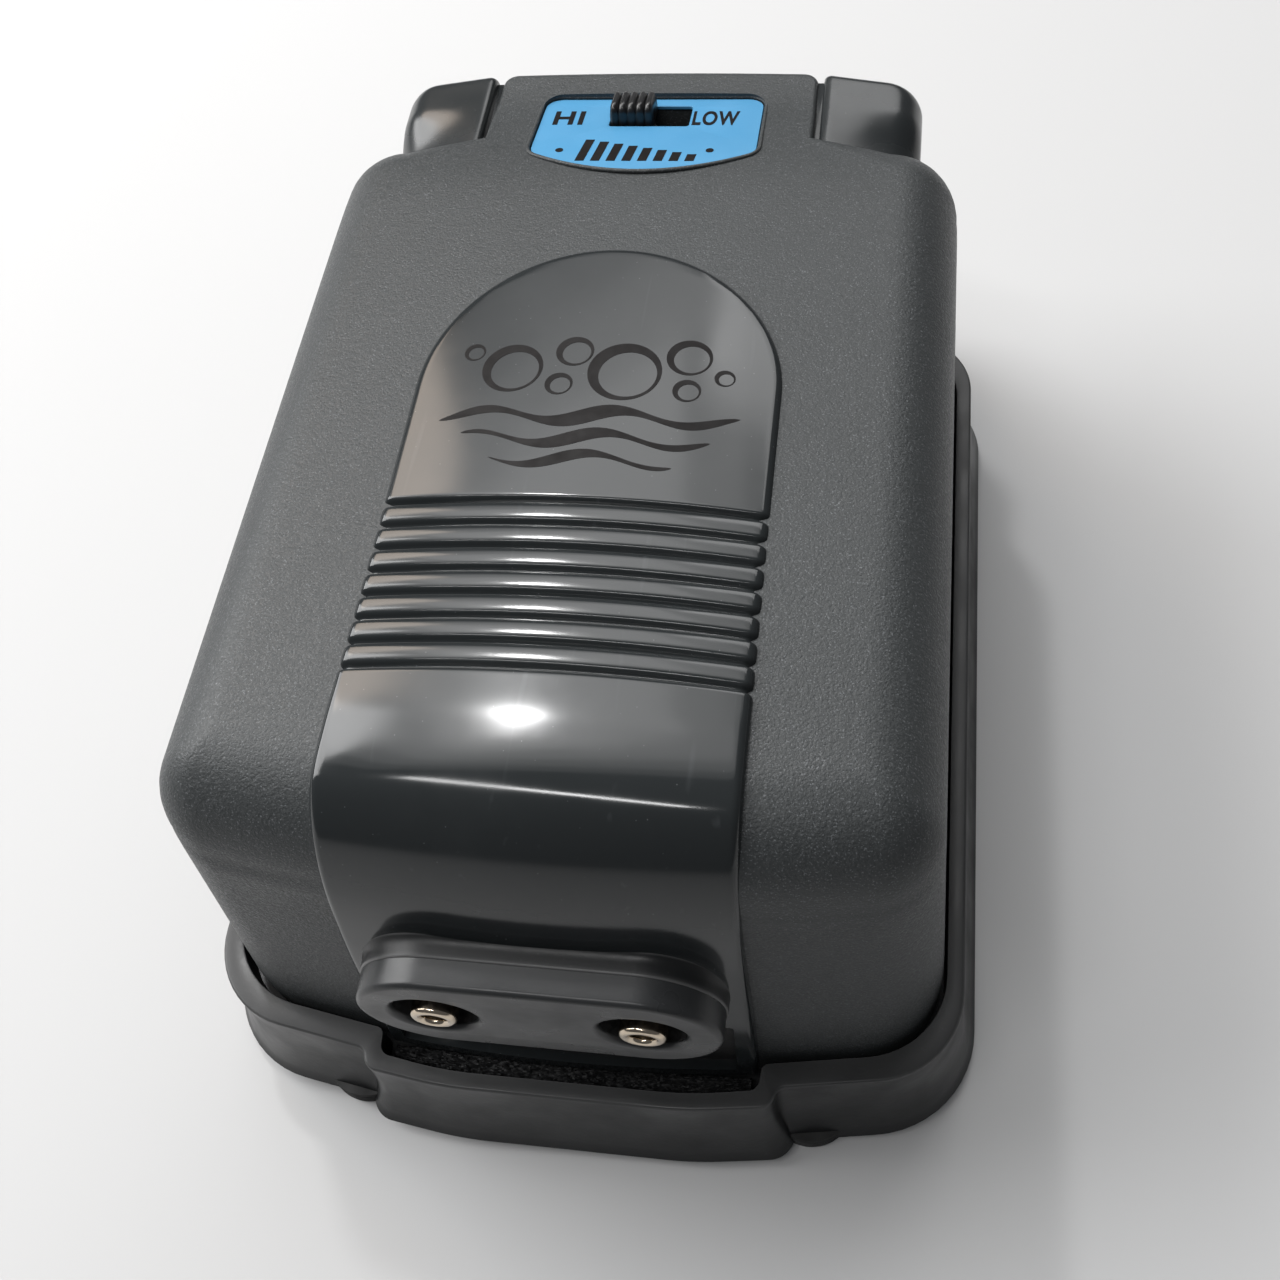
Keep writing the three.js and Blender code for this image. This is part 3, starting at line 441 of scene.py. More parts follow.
def chrome_material():
    m = Nodes("chrome_plate", (0.62, 0.53, 0.42), 0.12, 1.0)
    smear = m.noise(700, 3.0)
    m.tint(m.ramp(m.noise(350, 3.0), 0, 0.25, 0.5, 0.8), (0.42, 0.33, 0.24))
    m.roughen(smear, 0.08, 0.24)
    m.relief(m.noise(1800, 2.0), 0.005, 0.4)
    return m.material


def steel_material():
    m = Nodes("zinc_steel", (0.55, 0.56, 0.57), 0.35, 1.0)
    brushed = m.noise(900, 2.0, 0.5, m.stretched((1.0, 0.08, 1.0)))
    m.tint(m.ramp(m.noise(120, 4.0), 0, 0.4, 0.45, 0.8), (0.42, 0.42, 0.41))
    m.roughen(brushed, 0.25, 0.48)
    m.relief(brushed, 0.01, 0.4)
    return m.material


def laminate_material():
    """Edges of stamped sheets, stacked along Z."""
    m = Nodes("core_laminations", (0.3, 0.3, 0.31), 0.45, 0.9)
    sheets = m.node("ShaderNodeTexWave", Vector=m.place, Scale=310.0, Distortion=0.4)
    sheets.bands_direction = "Z"
    m.tint(m.ramp(sheets.outputs["Fac"], 0, 0.6, 0.5, 0.9), (0.12, 0.11, 0.1))
    m.roughen(m.noise(200, 3.0), 0.35, 0.6)
    m.relief(sheets.outputs["Fac"], 0.06, 0.6)
    return m.material


def winding_material():
    """Enamelled wire, wound round the X axis."""
    m = Nodes("enamelled_wire", (0.62, 0.23, 0.07), 0.25, 0.9, Coat_Weight=0.4)
    turns = m.node("ShaderNodeTexWave", Vector=m.place, Scale=520.0, Distortion=0.8)
    turns.bands_direction = "X"
    m.tint(m.ramp(turns.outputs["Fac"], 0, 0.6, 0.5, 1.0), (0.28, 0.09, 0.03))
    m.roughen(m.noise(180, 2.0), 0.18, 0.38)
    m.relief(turns.outputs["Fac"], 0.12, 0.8)
    return m.material


def simple_material(name, color, other, rough, metallic=0.0, grain=900, depth=0.02):
    """A plain moulded or sintered surface with mottling and a grain."""
    m = Nodes(name, color, rough, metallic)
    m.tint(m.ramp(m.noise(70, 4.0), 0, 0.6, 0.4, 0.8), other)
    m.roughen(m.noise(250, 3.0), rough * 0.8, min(1.0, rough * 1.25))
    m.relief(m.noise(grain, 3.0), depth, 0.5)
    return m.material


def label_material():
    """Printed sky-blue foil with a faint mottle."""
    m = Nodes("label_print", (0.07, 0.25, 0.44), 0.38, Specular_IOR_Level=0.35)
    m.tint(m.ramp(m.noise(90, 3.0), 0, 0.35, 0.45, 0.8), (0.085, 0.285, 0.48))
    m.tint(m.ramp(m.cells(600), 0.5, 0, 0.0, 0.05), (0.26, 0.42, 0.58))
    m.roughen(m.noise(200, 2.0), 0.28, 0.45)
    m.relief(m.noise(1500, 2.0), 0.008, 0.5)
    return m.material


def ink_material():
    m = Nodes("printed_ink", (0.007, 0.006, 0.006), 0.5, Specular_IOR_Level=0.12)
    m.tint(m.ramp(m.noise(900, 2.0), 0, 0.5, 0.5, 0.8), (0.014, 0.012, 0.012))
    m.roughen(m.noise(400, 2.0), 0.42, 0.6)
    m.relief(m.noise(1500, 2.0), 0.006, 0.4)
    return m.material


def felt_material():
    m = Nodes("pressed_felt", (0.62, 0.6, 0.53), 0.95)
    m.tint(m.ramp(m.noise(900, 4.0, 0.7), 0, 0.7, 0.4, 0.7), (0.42, 0.4, 0.35))
    m.relief(m.noise(1500, 5.0, 0.7), 0.25, 0.8)
    return m.material


MATERIALS = {
    "shell": matte_shell_material(),
    "gloss": gloss_material(),
    "tray": tray_material(),
    "rubber": rubber_material(),
    "block": block_material(),
    "chrome": chrome_material(),
    "steel": steel_material(),
    "label": label_material(),
    "knob": simple_material("black_nylon", (0.006, 0.006, 0.0065), (0.011, 0.011, 0.012), 0.36),
    "copper": winding_material(),
    "bobbin": simple_material("natural_nylon", (0.62, 0.58, 0.46), (0.52, 0.48, 0.37), 0.45),
    "ferrite": simple_material("sintered_magnet", (0.07, 0.065, 0.065), (0.11, 0.1, 0.1), 0.6, 0.3),
    "board": simple_material("phenolic_board", (0.3, 0.17, 0.05), (0.22, 0.12, 0.04), 0.5),
    "brass": simple_material("plain_brass", (0.7, 0.5, 0.18), (0.5, 0.35, 0.12), 0.3, 1.0),
    "hose": simple_material("silicone_hose", (0.6, 0.61, 0.57), (0.5, 0.5, 0.46), 0.4),
    "felt": felt_material(),
}
INK = ink_material()
SATIN = gloss_material("satin_ears", 0.2, 0.32)
GASKET = gasket_material()
LAMINATIONS = laminate_material()


def wear(piece, slot, material=None):
    """Gives a new piece its material: the one given, or else the slot's own."""
    piece.data.materials.clear()
    piece.data.materials.append(material or MATERIALS[slot])
    return piece


def dress_cad_nodes():
    slots = {s["node"]: s["material_slot"] for s in frame["record"]["subparts"]}
    for name, node in frame["nodes"].items():
        node.data.materials.clear()
        node.data.materials.append(LAMINATIONS if name == "magnet_core" else MATERIALS[slots[name]])


# ---- Cover ---------------------------------------------------------------------------
BOW_STEPS, CORNER_STEPS, SIDE_STEPS, REAR_STEPS, EAR_STEPS, TONGUE_STEPS = 26, 22, 42, 20, 14, 14
SPINE_Y = [-52.0, -44.0, 38.0, 52.0, 66.0]  # where the top's cross lines meet the middle
DRAFT_TOP = 62.0  # the walls lean in up to here
WALL_THICK = 2.6


def cover_ring(inset, tongue=True):
    """Plan points of the cover's right half, and the share of each rounding there.

    inset holds how far the side, front, rear, tongue side and tongue rear have moved in.
    """
    side, front_in, rear_in, tongue_side, tongue_rear = inset
    half = COVER_HALF - side
    front = FRONT_Y + front_in
    rear = REAR_Y - side
    corner = max(CORNER - (side + front_in) / 2, 0.6)
    rear_corner = max(CORNER - side, 1.0)
    lean = math.asin((half - corner) / (BOW - corner))
    corner_y = front + BOW - (BOW - corner) * math.cos(lean)
    points, shares = [], []

    def put(x, y, front_share=0.0, side_share=0.0, rear_share=0.0, t_side=0.0, t_rear=0.0):
        points.append((x, y))
        shares.append((side_share, front_share, rear_share, t_side, t_rear))

    for a in np.linspace(0, lean, BOW_STEPS, endpoint=False):
        put(BOW * math.sin(a), front + BOW - BOW * math.cos(a), front_share=1)
    for k in range(CORNER_STEPS):
        part = k / (CORNER_STEPS - 1)
        a = -math.pi / 2 + lean + (math.pi / 2 - lean) * part
        blend = float(smooth_step(part))
        put(half - corner + corner * math.cos(a), corner_y + corner * math.sin(a), 1 - blend, blend)
    for y in np.linspace(corner_y, rear - rear_corner, SIDE_STEPS)[1:-1]:
        put(half, y, side_share=1)
    for k in range(REAR_STEPS):
        part = k / (REAR_STEPS - 1)
        a = math.pi / 2 * part
        x = half - rear_corner + rear_corner * math.cos(a)
        y = rear - rear_corner + rear_corner * math.sin(a)
        put(x, y, 0, 1)
    tongue_half = TONGUE_HALF - tongue_side
    span = half - rear_corner - tongue_half
    for k in range(1, EAR_STEPS + 1):
        part = k / EAR_STEPS
        y = REAR_Y - (side * (1 - part) + rear_in * part) - EAR_LINE_SLOPE * part
        put(half - rear_corner - span * part, y, 0, 1 - part, part)
    root = REAR_Y - rear_in - EAR_LINE_SLOPE
    end = TONGUE_REAR - tongue_rear if tongue else root
    turn = max(3 - max(tongue_side, tongue_rear), 0.5) if tongue else 0
    for k in range(TONGUE_STEPS):
        part = k / (TONGUE_STEPS - 1)
        blend = min(1.0, part * 4)
        put(tongue_half, root + (end - turn - root) * part, 0, 0, 1 - blend, blend)
    for k in range(1, 8):
        part = k / 7
        a = math.pi / 2 * part
        x = tongue_half - turn + turn * math.cos(a)
        put(x, end - turn + turn * math.sin(a), 0, 0, 0, 1 - part, part)
    for k in range(1, TONGUE_STEPS + 1):
        put((tongue_half - turn) * (1 - k / TONGUE_STEPS), end, 0, 0, 0, 0, 1)
    return np.array(points), np.array(shares)


def whole_ring(right, z):
    """The full ring from its right half, with heights z for the right half."""
    z = np.broadcast_to(np.asarray(z, float), (len(right),))
    full = [(x, y, h) for (x, y), h in zip(right, z)]
    return full + [(-x, y, h) for x, y, h in full[-2:0:-1]]


def cover_surface(shrink=0.0, wall_levels=7, round_steps=13, top_steps=14, tongue=True):
    """Rings from the lower edge up over the shoulders to the line along the middle."""
    drafts = np.array([SIDE_DRAFT, FRONT_DRAFT, REAR_DRAFT, 0.0, 0.0])
    rounds = np.array([SIDE_ROUND, FRONT_ROUND, REAR_ROUND, TONGUE_SIDE_ROUND, TONGUE_REAR_ROUND])
    rounds = np.maximum(rounds - shrink, 0.4)
    base = drafts * (DRAFT_TOP - RIM_Z) + shrink
    edge, shares = cover_ring(base + rounds, tongue)
    edge_z = top_z(edge[:, 0], edge[:, 1]) - shrink
    radius = shares @ rounds
    wall_top = edge_z - radius
    low = COVER_LOW[2] + 0.1
    tongue_points = (shares[:, 3] + shares[:, 4]) > 0.5
    rings = []

    def wall(z, with_tongue):
        inset = drafts * max(0.0, min(z, DRAFT_TOP) - RIM_Z) + shrink
        return cover_ring(inset, with_tongue and tongue)[0]

    for z in np.linspace(low, TONGUE_LOW, wall_levels):
        rings.append(whole_ring(wall(z, False), z))
    if tongue:
        rings.append(whole_ring(wall(TONGUE_LOW, True), TONGUE_LOW + 0.02 * ~tongue_points))
    for part in (0.35, 0.7):
        z = TONGUE_LOW + (wall_top - TONGUE_LOW) * part
        rings.append(whole_ring(wall(float(np.median(z)), True), z))
    for a in np.linspace(0, math.pi / 2, round_steps):
        right, _ = cover_ring(base + rounds * (1 - math.cos(a)), tongue)
        rings.append(whole_ring(right, wall_top + radius * math.sin(a)))
    count = len(edge)
    side_start = BOW_STEPS + CORNER_STEPS
    stations = [0, side_start, side_start + SIDE_STEPS - 2, count - 2 * TONGUE_STEPS, count]
    spine = np.interp(np.arange(count), stations, SPINE_Y)
    spine[-TONGUE_STEPS - 4:] = np.minimum(spine[-1], spine[-TONGUE_STEPS - 4:])
    for part in np.linspace(0, 1, top_steps)[1:]:
        x = edge[:, 0] * (1 - part)
        y = edge[:, 1] + (spine - edge[:, 1]) * part
        flat = top_z(x, y) - shrink
        rings.append(whole_ring(np.column_stack([x, y]), flat))
    return rings


LABEL_Y = 57.0
# From the label's own plane (x and y on the label, z out of it) to the pump.
LABEL_MATRIX = (
    Matrix.Translation((0, LABEL_Y, float(top_line(LABEL_Y)))) @ Matrix.Rotation(-LABEL_TILT, 4, "X")
)
LABEL_HALF = LABEL_HIGH[0]
LABEL_FACE = -0.4
LABEL_REAR, LABEL_FRONT, LABEL_BOW = 11.0, -6.6, 4.5
SLOT_HALF, SLOT_Y, SLOT_DEEP = 6.3, 5.5, 3.2
PRINT_THICK = 0.08


def label_outline(grow=0.0, steps=10):
    """The label's edge: round corners and a front edge bowed forward."""
    half, rear_round, front_round = LABEL_HALF + grow, 2.6 + grow, 2.6 + grow
    front, rear = LABEL_FRONT - grow, LABEL_REAR + grow
    lean = math.atan(2 * LABEL_BOW / half)
    bow_half = half - front_round * (1 - math.sin(lean))
    points = [(bow_half * p, front - LABEL_BOW * (1 - p * p)) for p in np.linspace(-1, 1, 25)]
    centre = (bow_half - front_round * math.sin(lean), front + front_round * math.cos(lean))
    start = math.degrees(lean) - 90
    points += arc(centre, front_round, start, 0, steps)[1:]
    points += arc((half - rear_round, rear - rear_round), rear_round, 0, 90, steps)
    points += arc((rear_round - half, rear - rear_round), rear_round, 90, 180, steps)
    points += arc((-centre[0], centre[1]), front_round, 180, 180 - start, steps)[:-1]
    return points


def slot_outline(grow=0.0, steps=5):
    deep = SLOT_DEEP + grow
    corners = box_corners(SLOT_HALF + grow, SLOT_Y - deep, SLOT_Y + deep, 0.5)
    return rounded_outline(corners, 0, steps, 2)


def on_label(points):
    return [tuple(LABEL_MATRIX @ Vector(p)) for p in points]


def prism_cutter(name, outline, low, high):
    rings = [on_label([(x, y, low) for x, y in outline]), on_label([(x, y, high) for x, y in outline])]
    points, faces = lofted(rings)
    return mesh_piece(name, points, faces)


def cut_away(piece, cutter):
    """Subtracts one mesh from another and drops the cutter."""
    step = piece.modifiers.new("cut", "BOOLEAN")
    step.operation = "DIFFERENCE"
    step.solver = "EXACT"
    step.object = cutter
    bpy.context.view_layer.update()
    depsgraph = bpy.context.evaluated_depsgraph_get()
    made = bpy.data.meshes.new_from_object(piece.evaluated_get(depsgraph))
    piece.modifiers.clear()
    old = piece.data
    piece.data = made
    bpy.data.meshes.remove(old)
    bpy.data.objects.remove(cutter)


def build_cover():
    outer = cover_surface()
    inner = cover_surface(shrink=WALL_THICK, wall_levels=4, round_steps=6, top_steps=5, tongue=False)
    around = len(outer[0])
    points = [p for ring in outer for p in ring] + [p for ring in inner for p in ring]
    faces = strip_faces(len(outer), around)
    start = len(outer) * around
    faces += [f[::-1] for f in strip_faces(len(inner), around, start)]
    faces += [(i, start + i, start + (i + 1) % around, (i + 1) % around) for i in range(around)]
    cover = mesh_piece("cover_shell", points, faces)
    cut_away(cover, prism_cutter("recess_cutter", label_outline(0.25), -1.15, 6))
    cut_away(cover, prism_cutter("slot_cutter", slot_outline(0.3), -12, 8))
    finish_mesh(cover, 38)
    wear(cover, "shell")
    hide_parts("top_cover")
    return cover


def swept_bead(name, path, radius, lift, around=12):
    """A round bead along a closed path on the label's plane."""
    path = np.array(path)
    count = len(path)
    rings = []
    for i in range(count):
        t = path[(i + 1) % count] - path[i - 1]
        t /= np.linalg.norm(t)
        n = np.array([t[1], -t[0]])
        ring = []
        for k in range(around):
            a = 2 * math.pi * k / around
            p = path[i] + n * radius * math.cos(a)
            ring.append((p[0], p[1], lift + radius * math.sin(a)))
        rings.append(on_label(ring))
    rings.append(rings[0])
    points, faces = lofted(rings, (False, False))
    return mesh_piece(name, points, faces)


def build_label():
    bezel = swept_bead("label_bezel", label_outline(0.5), 0.34, -0.3)
    wear(bezel, "shell")
    outline, hole = label_outline(0.0), slot_outline()
    plate = plate_with_holes("label_face", outline, [hole], -0.95, LABEL_FACE, 0.1, on_label)
    wear(plate, "label")
    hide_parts("label_plate")


def plate_with_holes(name, outline, holes, low, high, edge, place, body="housing", steps=4):
    """A flat plate with holes, every edge of it rounded by edge."""
    curve = bpy.data.curves.new(name, "CURVE")
    curve.dimensions = "2D"
    curve.fill_mode = "BOTH"
    curve.extrude = (high - low) / 2 * MM - edge * MM
    curve.bevel_depth = edge * MM
    curve.bevel_resolution = steps
    for loop in [outline, *holes]:
        spline = curve.splines.new("POLY")
        spline.points.add(len(loop) - 1)
        for point, (x, y) in zip(spline.points, loop):
            point.co = (x * MM, y * MM, 0, 1)
        spline.use_cyclic_u = True
    curve.offset = -edge * MM
    points, faces = curve_solid(curve)
    return mesh_piece(name, place(points / MM + (0, 0, (high + low) / 2)), faces, body, 45)


# ---- Centre strip --------------------------------------------------------------------
PROFILE = [  # (y, z) up the front, over the shoulder and back along the top
    (-73.2, 17.6), (-72.3, 28.0), (-71.2, 40.0), (-69.9, 50.0), (-67.9, 60.0),
    (-64.9, 67.4), (-61.0, 72.3), (-56.8, 74.5), (-50.0, 74.9), (-42.0, 74.5),
    (-30.0, 74.0), (-16.0, 73.7), (2.5, 73.5), (30.0, 73.2),
]
STRIP_CROWN = 1.2
RIB_BOW, RIB_FADE = 0.45, 14.0  # the ribs bow to the rear, and lines beyond them less and less
STRIP_THICK = 2.2
POCKET_HALF, POCKET_LOW, POCKET_HIGH = 23.4, 19.4, 34.0
GROOVES = 8
GROOVE_FIRST_Y, GROOVE_PITCH = -42.9, 3.54
RIB_DROP = 0.8


def catmull(points, samples):
    """Dense points on a smooth curve through a few points."""
    p = np.array([2 * np.array(points[0]) - np.array(points[1]), *points,
                  2 * np.array(points[-1]) - np.array(points[-2])], float)
    out = []
    for i in range(1, len(p) - 2):
        for t in np.linspace(0, 1, samples, endpoint=False):
            a, b, c, d = p[i - 1], p[i], p[i + 1], p[i + 2]
            out.append(0.5 * (2 * b + (c - a) * t + (2 * a - 5 * b + 4 * c - d) * t ** 2
                              + (3 * b - a - 3 * c + d) * t ** 3))
    out.append(p[-2])
    return np.array(out)


DENSE_PROFILE = catmull(PROFILE, 24)
PROFILE_LENGTH = np.concatenate([[0], np.cumsum(np.linalg.norm(np.diff(DENSE_PROFILE, axis=0), axis=1))])


def profile_point(length):
    return np.array([np.interp(length, PROFILE_LENGTH, DENSE_PROFILE[:, k]) for k in (0, 1)])


def profile_at(length):
    """Place and outward normal (y, z) at a length along the strip's middle line."""
    y, z = profile_point(length)
    ahead_y, ahead_z = profile_point(length + 0.8) - profile_point(length - 0.8)
    size = np.hypot(ahead_y, ahead_z)
    return y, z, -ahead_z / size, ahead_y / size


def length_at_y(y):
    return float(np.interp(y, DENSE_PROFILE[:, 0], PROFILE_LENGTH))


def groove_share(y):
    """0 on a rib's crest and on the plain strip, 1 at the bottom of a groove."""
    phase = (np.asarray(y) - GROOVE_FIRST_Y) / GROOVE_PITCH
    from_groove = np.abs(phase - np.clip(np.round(phase), 0, GROOVES - 1)) * GROOVE_PITCH
    inside = (phase > 0) & (phase < GROOVES - 1)
    round_over = np.where(inside, 0.2 * (1 - np.minimum(1, 2 * from_groove / GROOVE_PITCH)) ** 2, 0)
    notch = np.exp(-(from_groove / 0.42) ** 2)
    return np.minimum(1, round_over + (1 - round_over) * notch)


def strip_point(x, length, drop):
    """A point on the strip's face, sunk by drop along the face's normal."""
    y, z, ny, nz = profile_at(length)
    y = y + max(0.0, -ny) * x * x / (2 * BOW)
    z = z - max(0.0, nz) * (CROWN * (x / CROWN_HALF) ** 2 + STRIP_CROWN * (x / STRIP_HALF) ** 2)
    return (x, y - ny * drop, z - nz * drop)


def edge_drop(distance):
    if distance >= EDGE_ROUND:
        return 0.0
    d = max(distance, 0.0)
    return EDGE_ROUND - math.sqrt(max(EDGE_ROUND ** 2 - (EDGE_ROUND - d) ** 2, 0.0))


def strip_half_at(z):
    """The strip widens a little toward its lower end."""
    return STRIP_HALF + 1.1 * float(smooth_step((66 - z) / 46))


def build_strip():
    edge_steps = [0, 0.04, 0.12, 0.25, 0.42, 0.65, 0.9, 1.2, 1.8, 3.0]
    edge_t = [1 - d / STRIP_HALF for d in edge_steps]
    across = edge_t + [-t for t in edge_t] + list(np.linspace(-0.84, 0.84, 36))
    columns = sorted({round(t, 5) for t in across})
    dome = length_at_y(STRIP_DOME_Y)
    rib_low = length_at_y(GROOVE_FIRST_Y - 1.5)
    rib_high = length_at_y(GROOVE_FIRST_Y + GROOVE_PITCH * (GROOVES - 1) + 1.5)
    rows = list(np.concatenate([
        np.linspace(0, rib_low, 110, endpoint=False),
        np.linspace(rib_low, rib_high, GROOVES * 24, endpoint=False),
        np.linspace(rib_high, dome, 20, endpoint=False),
    ]))
    grid = []
    for length in rows:
        y, z, _, _ = profile_at(length)
        groove = float(groove_share(y))
        half = strip_half_at(z) - 0.5 * groove
        from_ribs = max(rib_low - length, length - rib_high, 0)
        bow = RIB_BOW * float(smooth_step(1 - from_ribs / RIB_FADE))
        line = []
        for t in columns:
            x = half * t
            drop = edge_drop(half - abs(x)) + RIB_DROP * groove
            line.append(strip_point(x, length + bow * (1 - t * t), drop))
        grid.append(line)
    dome_steps = list(np.linspace(0, 0.86, 26)) + [1 - d / STRIP_HALF for d in edge_steps[::-1][1:]]
    for s in dome_steps:
        line = []
        for t in columns:
            x = STRIP_HALF * t * math.sqrt(1 - s * s / 2)
            up = STRIP_HALF * s * math.sqrt(1 - t * t / 2)
            gap = STRIP_HALF - math.hypot(x, up)
            line.append(strip_point(x, dome + up, edge_drop(gap)))
        grid.append(line)
    grid = np.array(grid)
    under = grid - (0, 0, STRIP_THICK + 0.4)
    for j, length in enumerate(rows):
        _, _, ny, nz = profile_at(length)
        under[j] = grid[j] - (0, ny * STRIP_THICK, nz * STRIP_THICK)
    strip = mesh_piece("strip_face", *slab_between(grid, under), sharp_deg=50)
    hole = rounded_outline(box_corners(POCKET_HALF, POCKET_LOW, POCKET_HIGH, 0.8), 0, 4, 4)
    rings = [[(x, y, z) for x, z in hole] for y in (-80.0, -62.0)]
    cut_away(strip, mesh_piece("pocket_cutter", *lofted(rings)))
    finish_mesh(strip, 50)
    wear(strip, "gloss")
    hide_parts("centre_strip")


def build_pocket_shade():
    """A black rubber panel at the back of the opening under the outlets: painted shade for the opening's dark
    depth.
    """
    loop = rounded_outline(box_corners(POCKET_HALF + 0.9, POCKET_LOW - 1, POCKET_HIGH + 0.5, 1.0), 0, 4, 10)
    rings = []
    for y in (-71.75, -69.5):
        rings.append([(x, y + FRONT_DRAFT * (z - RIM_Z) + x * x / (2 * BOW), z) for x, z in loop])
    # Painted shade: black rubber standing in for the shade deep inside the opening.
    pocket = mesh_piece("pocket_shade_panel", *lofted(rings))
    wear(pocket, "rubber")


def build_emblem():
    """A generic print on the dome: bubbles over three swelling waves."""
    centre = STRIP_DOME_Y - 2.6
    points, faces = [], []

    def ribbon(one_side, other_side, closed=False):
        """A thin solid band between two lines of (x, y) points on the strip."""
        start = len(points)
        for (x0, y0), (x1, y1) in zip(one_side, other_side):
            for x, y, drop in ((x0, y0, -0.03), (x1, y1, -0.03), (x1, y1, 0.1), (x0, y0, 0.1)):
                points.append(strip_point(x, length_at_y(centre + y), drop))
        faces.extend(strip_faces(len(one_side), 4, start))
        last = start + 4 * len(one_side) - 4
        if closed:
            faces.extend((last + k, last + (k + 1) % 4, start + (k + 1) % 4, start + k) for k in range(4))
        else:
            faces.extend(tuple(end + k for k in range(4)) for end in (start, last))

    def ring(x0, y0, radius, width):
        turns = np.radians(np.linspace(0, 360, 64, endpoint=False))
        wide = width * (0.62 - 0.38 * np.cos(turns + 0.8))
        outer = [(x0 + radius * math.cos(a), y0 + radius * math.sin(a)) for a in turns]
        reach = radius - wide
        inner = [(x0 + r * math.cos(a), y0 + r * math.sin(a)) for a, r in zip(turns, reach)]
        ribbon(outer, inner, closed=True)

    for x0, y0, radius, width in [(-11.4, 4.6, 4.2, 1.5), (-3.2, 7.6, 2.6, 1.1), (4.0, 4.2, 5.0, 1.8),
                                  (12.4, 7.2, 3.1, 1.2), (-4.6, 1.8, 1.9, 0.9), (12.6, 1.4, 1.9, 0.9),
                                  (-17.2, 7.6, 1.5, 0.7), (17.4, 4.0, 1.4, 0.7)]:
        ring(x0, y0, radius, width)
    for row, (half, base, thick) in enumerate([(20.0, -3.6, 2.3), (16.5, -7.4, 2.0), (12.0, -10.9, 1.7)]):
        xs = np.linspace(-half, half, 90)
        wave = (xs + 1.5 * row) * 0.36
        middle = base + 1.0 * np.sin(wave)
        swell = thick / 2 * (1 - (xs / half) ** 2) ** 0.6 * (0.75 + 0.35 * np.cos(wave)) + 0.02
        ribbon(list(zip(xs, middle + swell)), list(zip(xs, middle - swell)))
    emblem = mesh_piece("dome_emblem", points, faces)
    wear(emblem, "knob", INK)


# ---- Tray ----------------------------------------------------------------------------
def rear_corner(half, rear, radius, notch_x, notch_round):
    """A round rear corner as two wide bends, cut off where the tail leaves it."""
    x, y = half - radius, rear - radius
    eighth, turned_far = math.radians(22.5), math.radians(60)
    spread = radius / math.cos(math.radians(15))
    second = (x + spread * math.cos(turned_far), y + spread * math.sin(turned_far))
    notch_y = second[1] + (second[0] - notch_x) * math.tan(math.radians(15))
    return [(half, y + radius * math.tan(eighth), radius), (*second, radius), (notch_x, notch_y, notch_round)]


def tray_corners():
    half = TRAY_HIGH[0] - 2.8
    tail = 45.4
    right = [
        (17.0, -78.25, 60.0), (28.2, -76.7, 2.6), (28.9, -74.0, 1.8),
        (half, -70.0, 13.5), *rear_corner(half, 62.8, 13.5, tail + 0.8, 1.6), (tail, 78.4, 9.0),
    ]
    return mirrored_corners(right)


def inner_corners():
    """The rim's inner edge, which follows the cover with a small gap."""
    half = COVER_HALF + 0.45
    right = [
        (17.0, -75.9, 60.0), (26.3, -74.4, 1.6), (26.6, -70.9, 1.2),
        (half, -66.9, 12.4), *rear_corner(half, 60.3, 12.6, EAR_HALF + 1.2, 1.2),
        (EAR_HALF + 0.45, BUMPER_REAR + 0.5, 5.0),
    ]
    return mirrored_corners(right)


def build_tray():
    outer, inner = tray_corners(), inner_corners()
    flare, skirt_top = 2.8, RIM_Z - 1.3

    def make(corners, grow, z):
        return at_height(rounded_outline(corners, grow, 12, 5), z)

    rings = [make(inner, -1.2, SKIRT_Z + 4.0), make(outer, flare - 2.6, SKIRT_Z + 4.0)]
    rings += [make(outer, flare - 2.4, SKIRT_Z), make(outer, flare - 0.5, SKIRT_Z)]
    rings.append(make(outer, flare, SKIRT_Z + 0.5))
    for part in np.linspace(0.08, 1, 14):
        z = SKIRT_Z + (skirt_top - SKIRT_Z) * part
        rings.append(make(outer, flare * (1 - part) ** 2.2, z))
    rings.append(make(outer, 0.0, RIM_Z - 0.42))
    for a in np.linspace(0, math.pi / 2, 5):
        rings.append(make(outer, -0.4 * (1 - math.cos(a)), RIM_Z - 0.4 + 0.4 * math.sin(a)))
    rings.append(make(inner, 0.28, RIM_Z))
    rings.append(make(inner, 0.08, RIM_Z - 0.08))
    rings.append(make(inner, 0.0, RIM_Z - 0.3))
    rings.append(make(inner, 0.0, 14.2))
    rings.append(make(inner, -1.0, 14.0))
    points, faces = lofted(rings)
    tray = mesh_piece("tray_skirt", points, faces, sharp_deg=42)
    wear(tray, "tray")
    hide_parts("base_tray")


def build_gasket():
    """Foam strip in the bulge, under the outlets."""
    rng = np.random.default_rng(11)
    across, deep = 150, 26
    top = []
    for share in np.linspace(-1, 1, deep):
        for x in np.linspace(-25.2, 25.2, across):
            y = -74.0 + (1.2 + 0.5 * math.cos(x / 16)) * share + 0.9 * (x / 25) ** 2
            top.append((x, y, 16.6 + rng.normal(0, 0.16) - 0.9 * abs(share) ** 4))
    top = np.array(top).reshape(deep, across, 3)
    under = top.copy()
    under[:, :, 2] = 13.9
    gasket = mesh_piece("foam_gasket", *slab_between(top, under))
    wear(gasket, "rubber", GASKET)


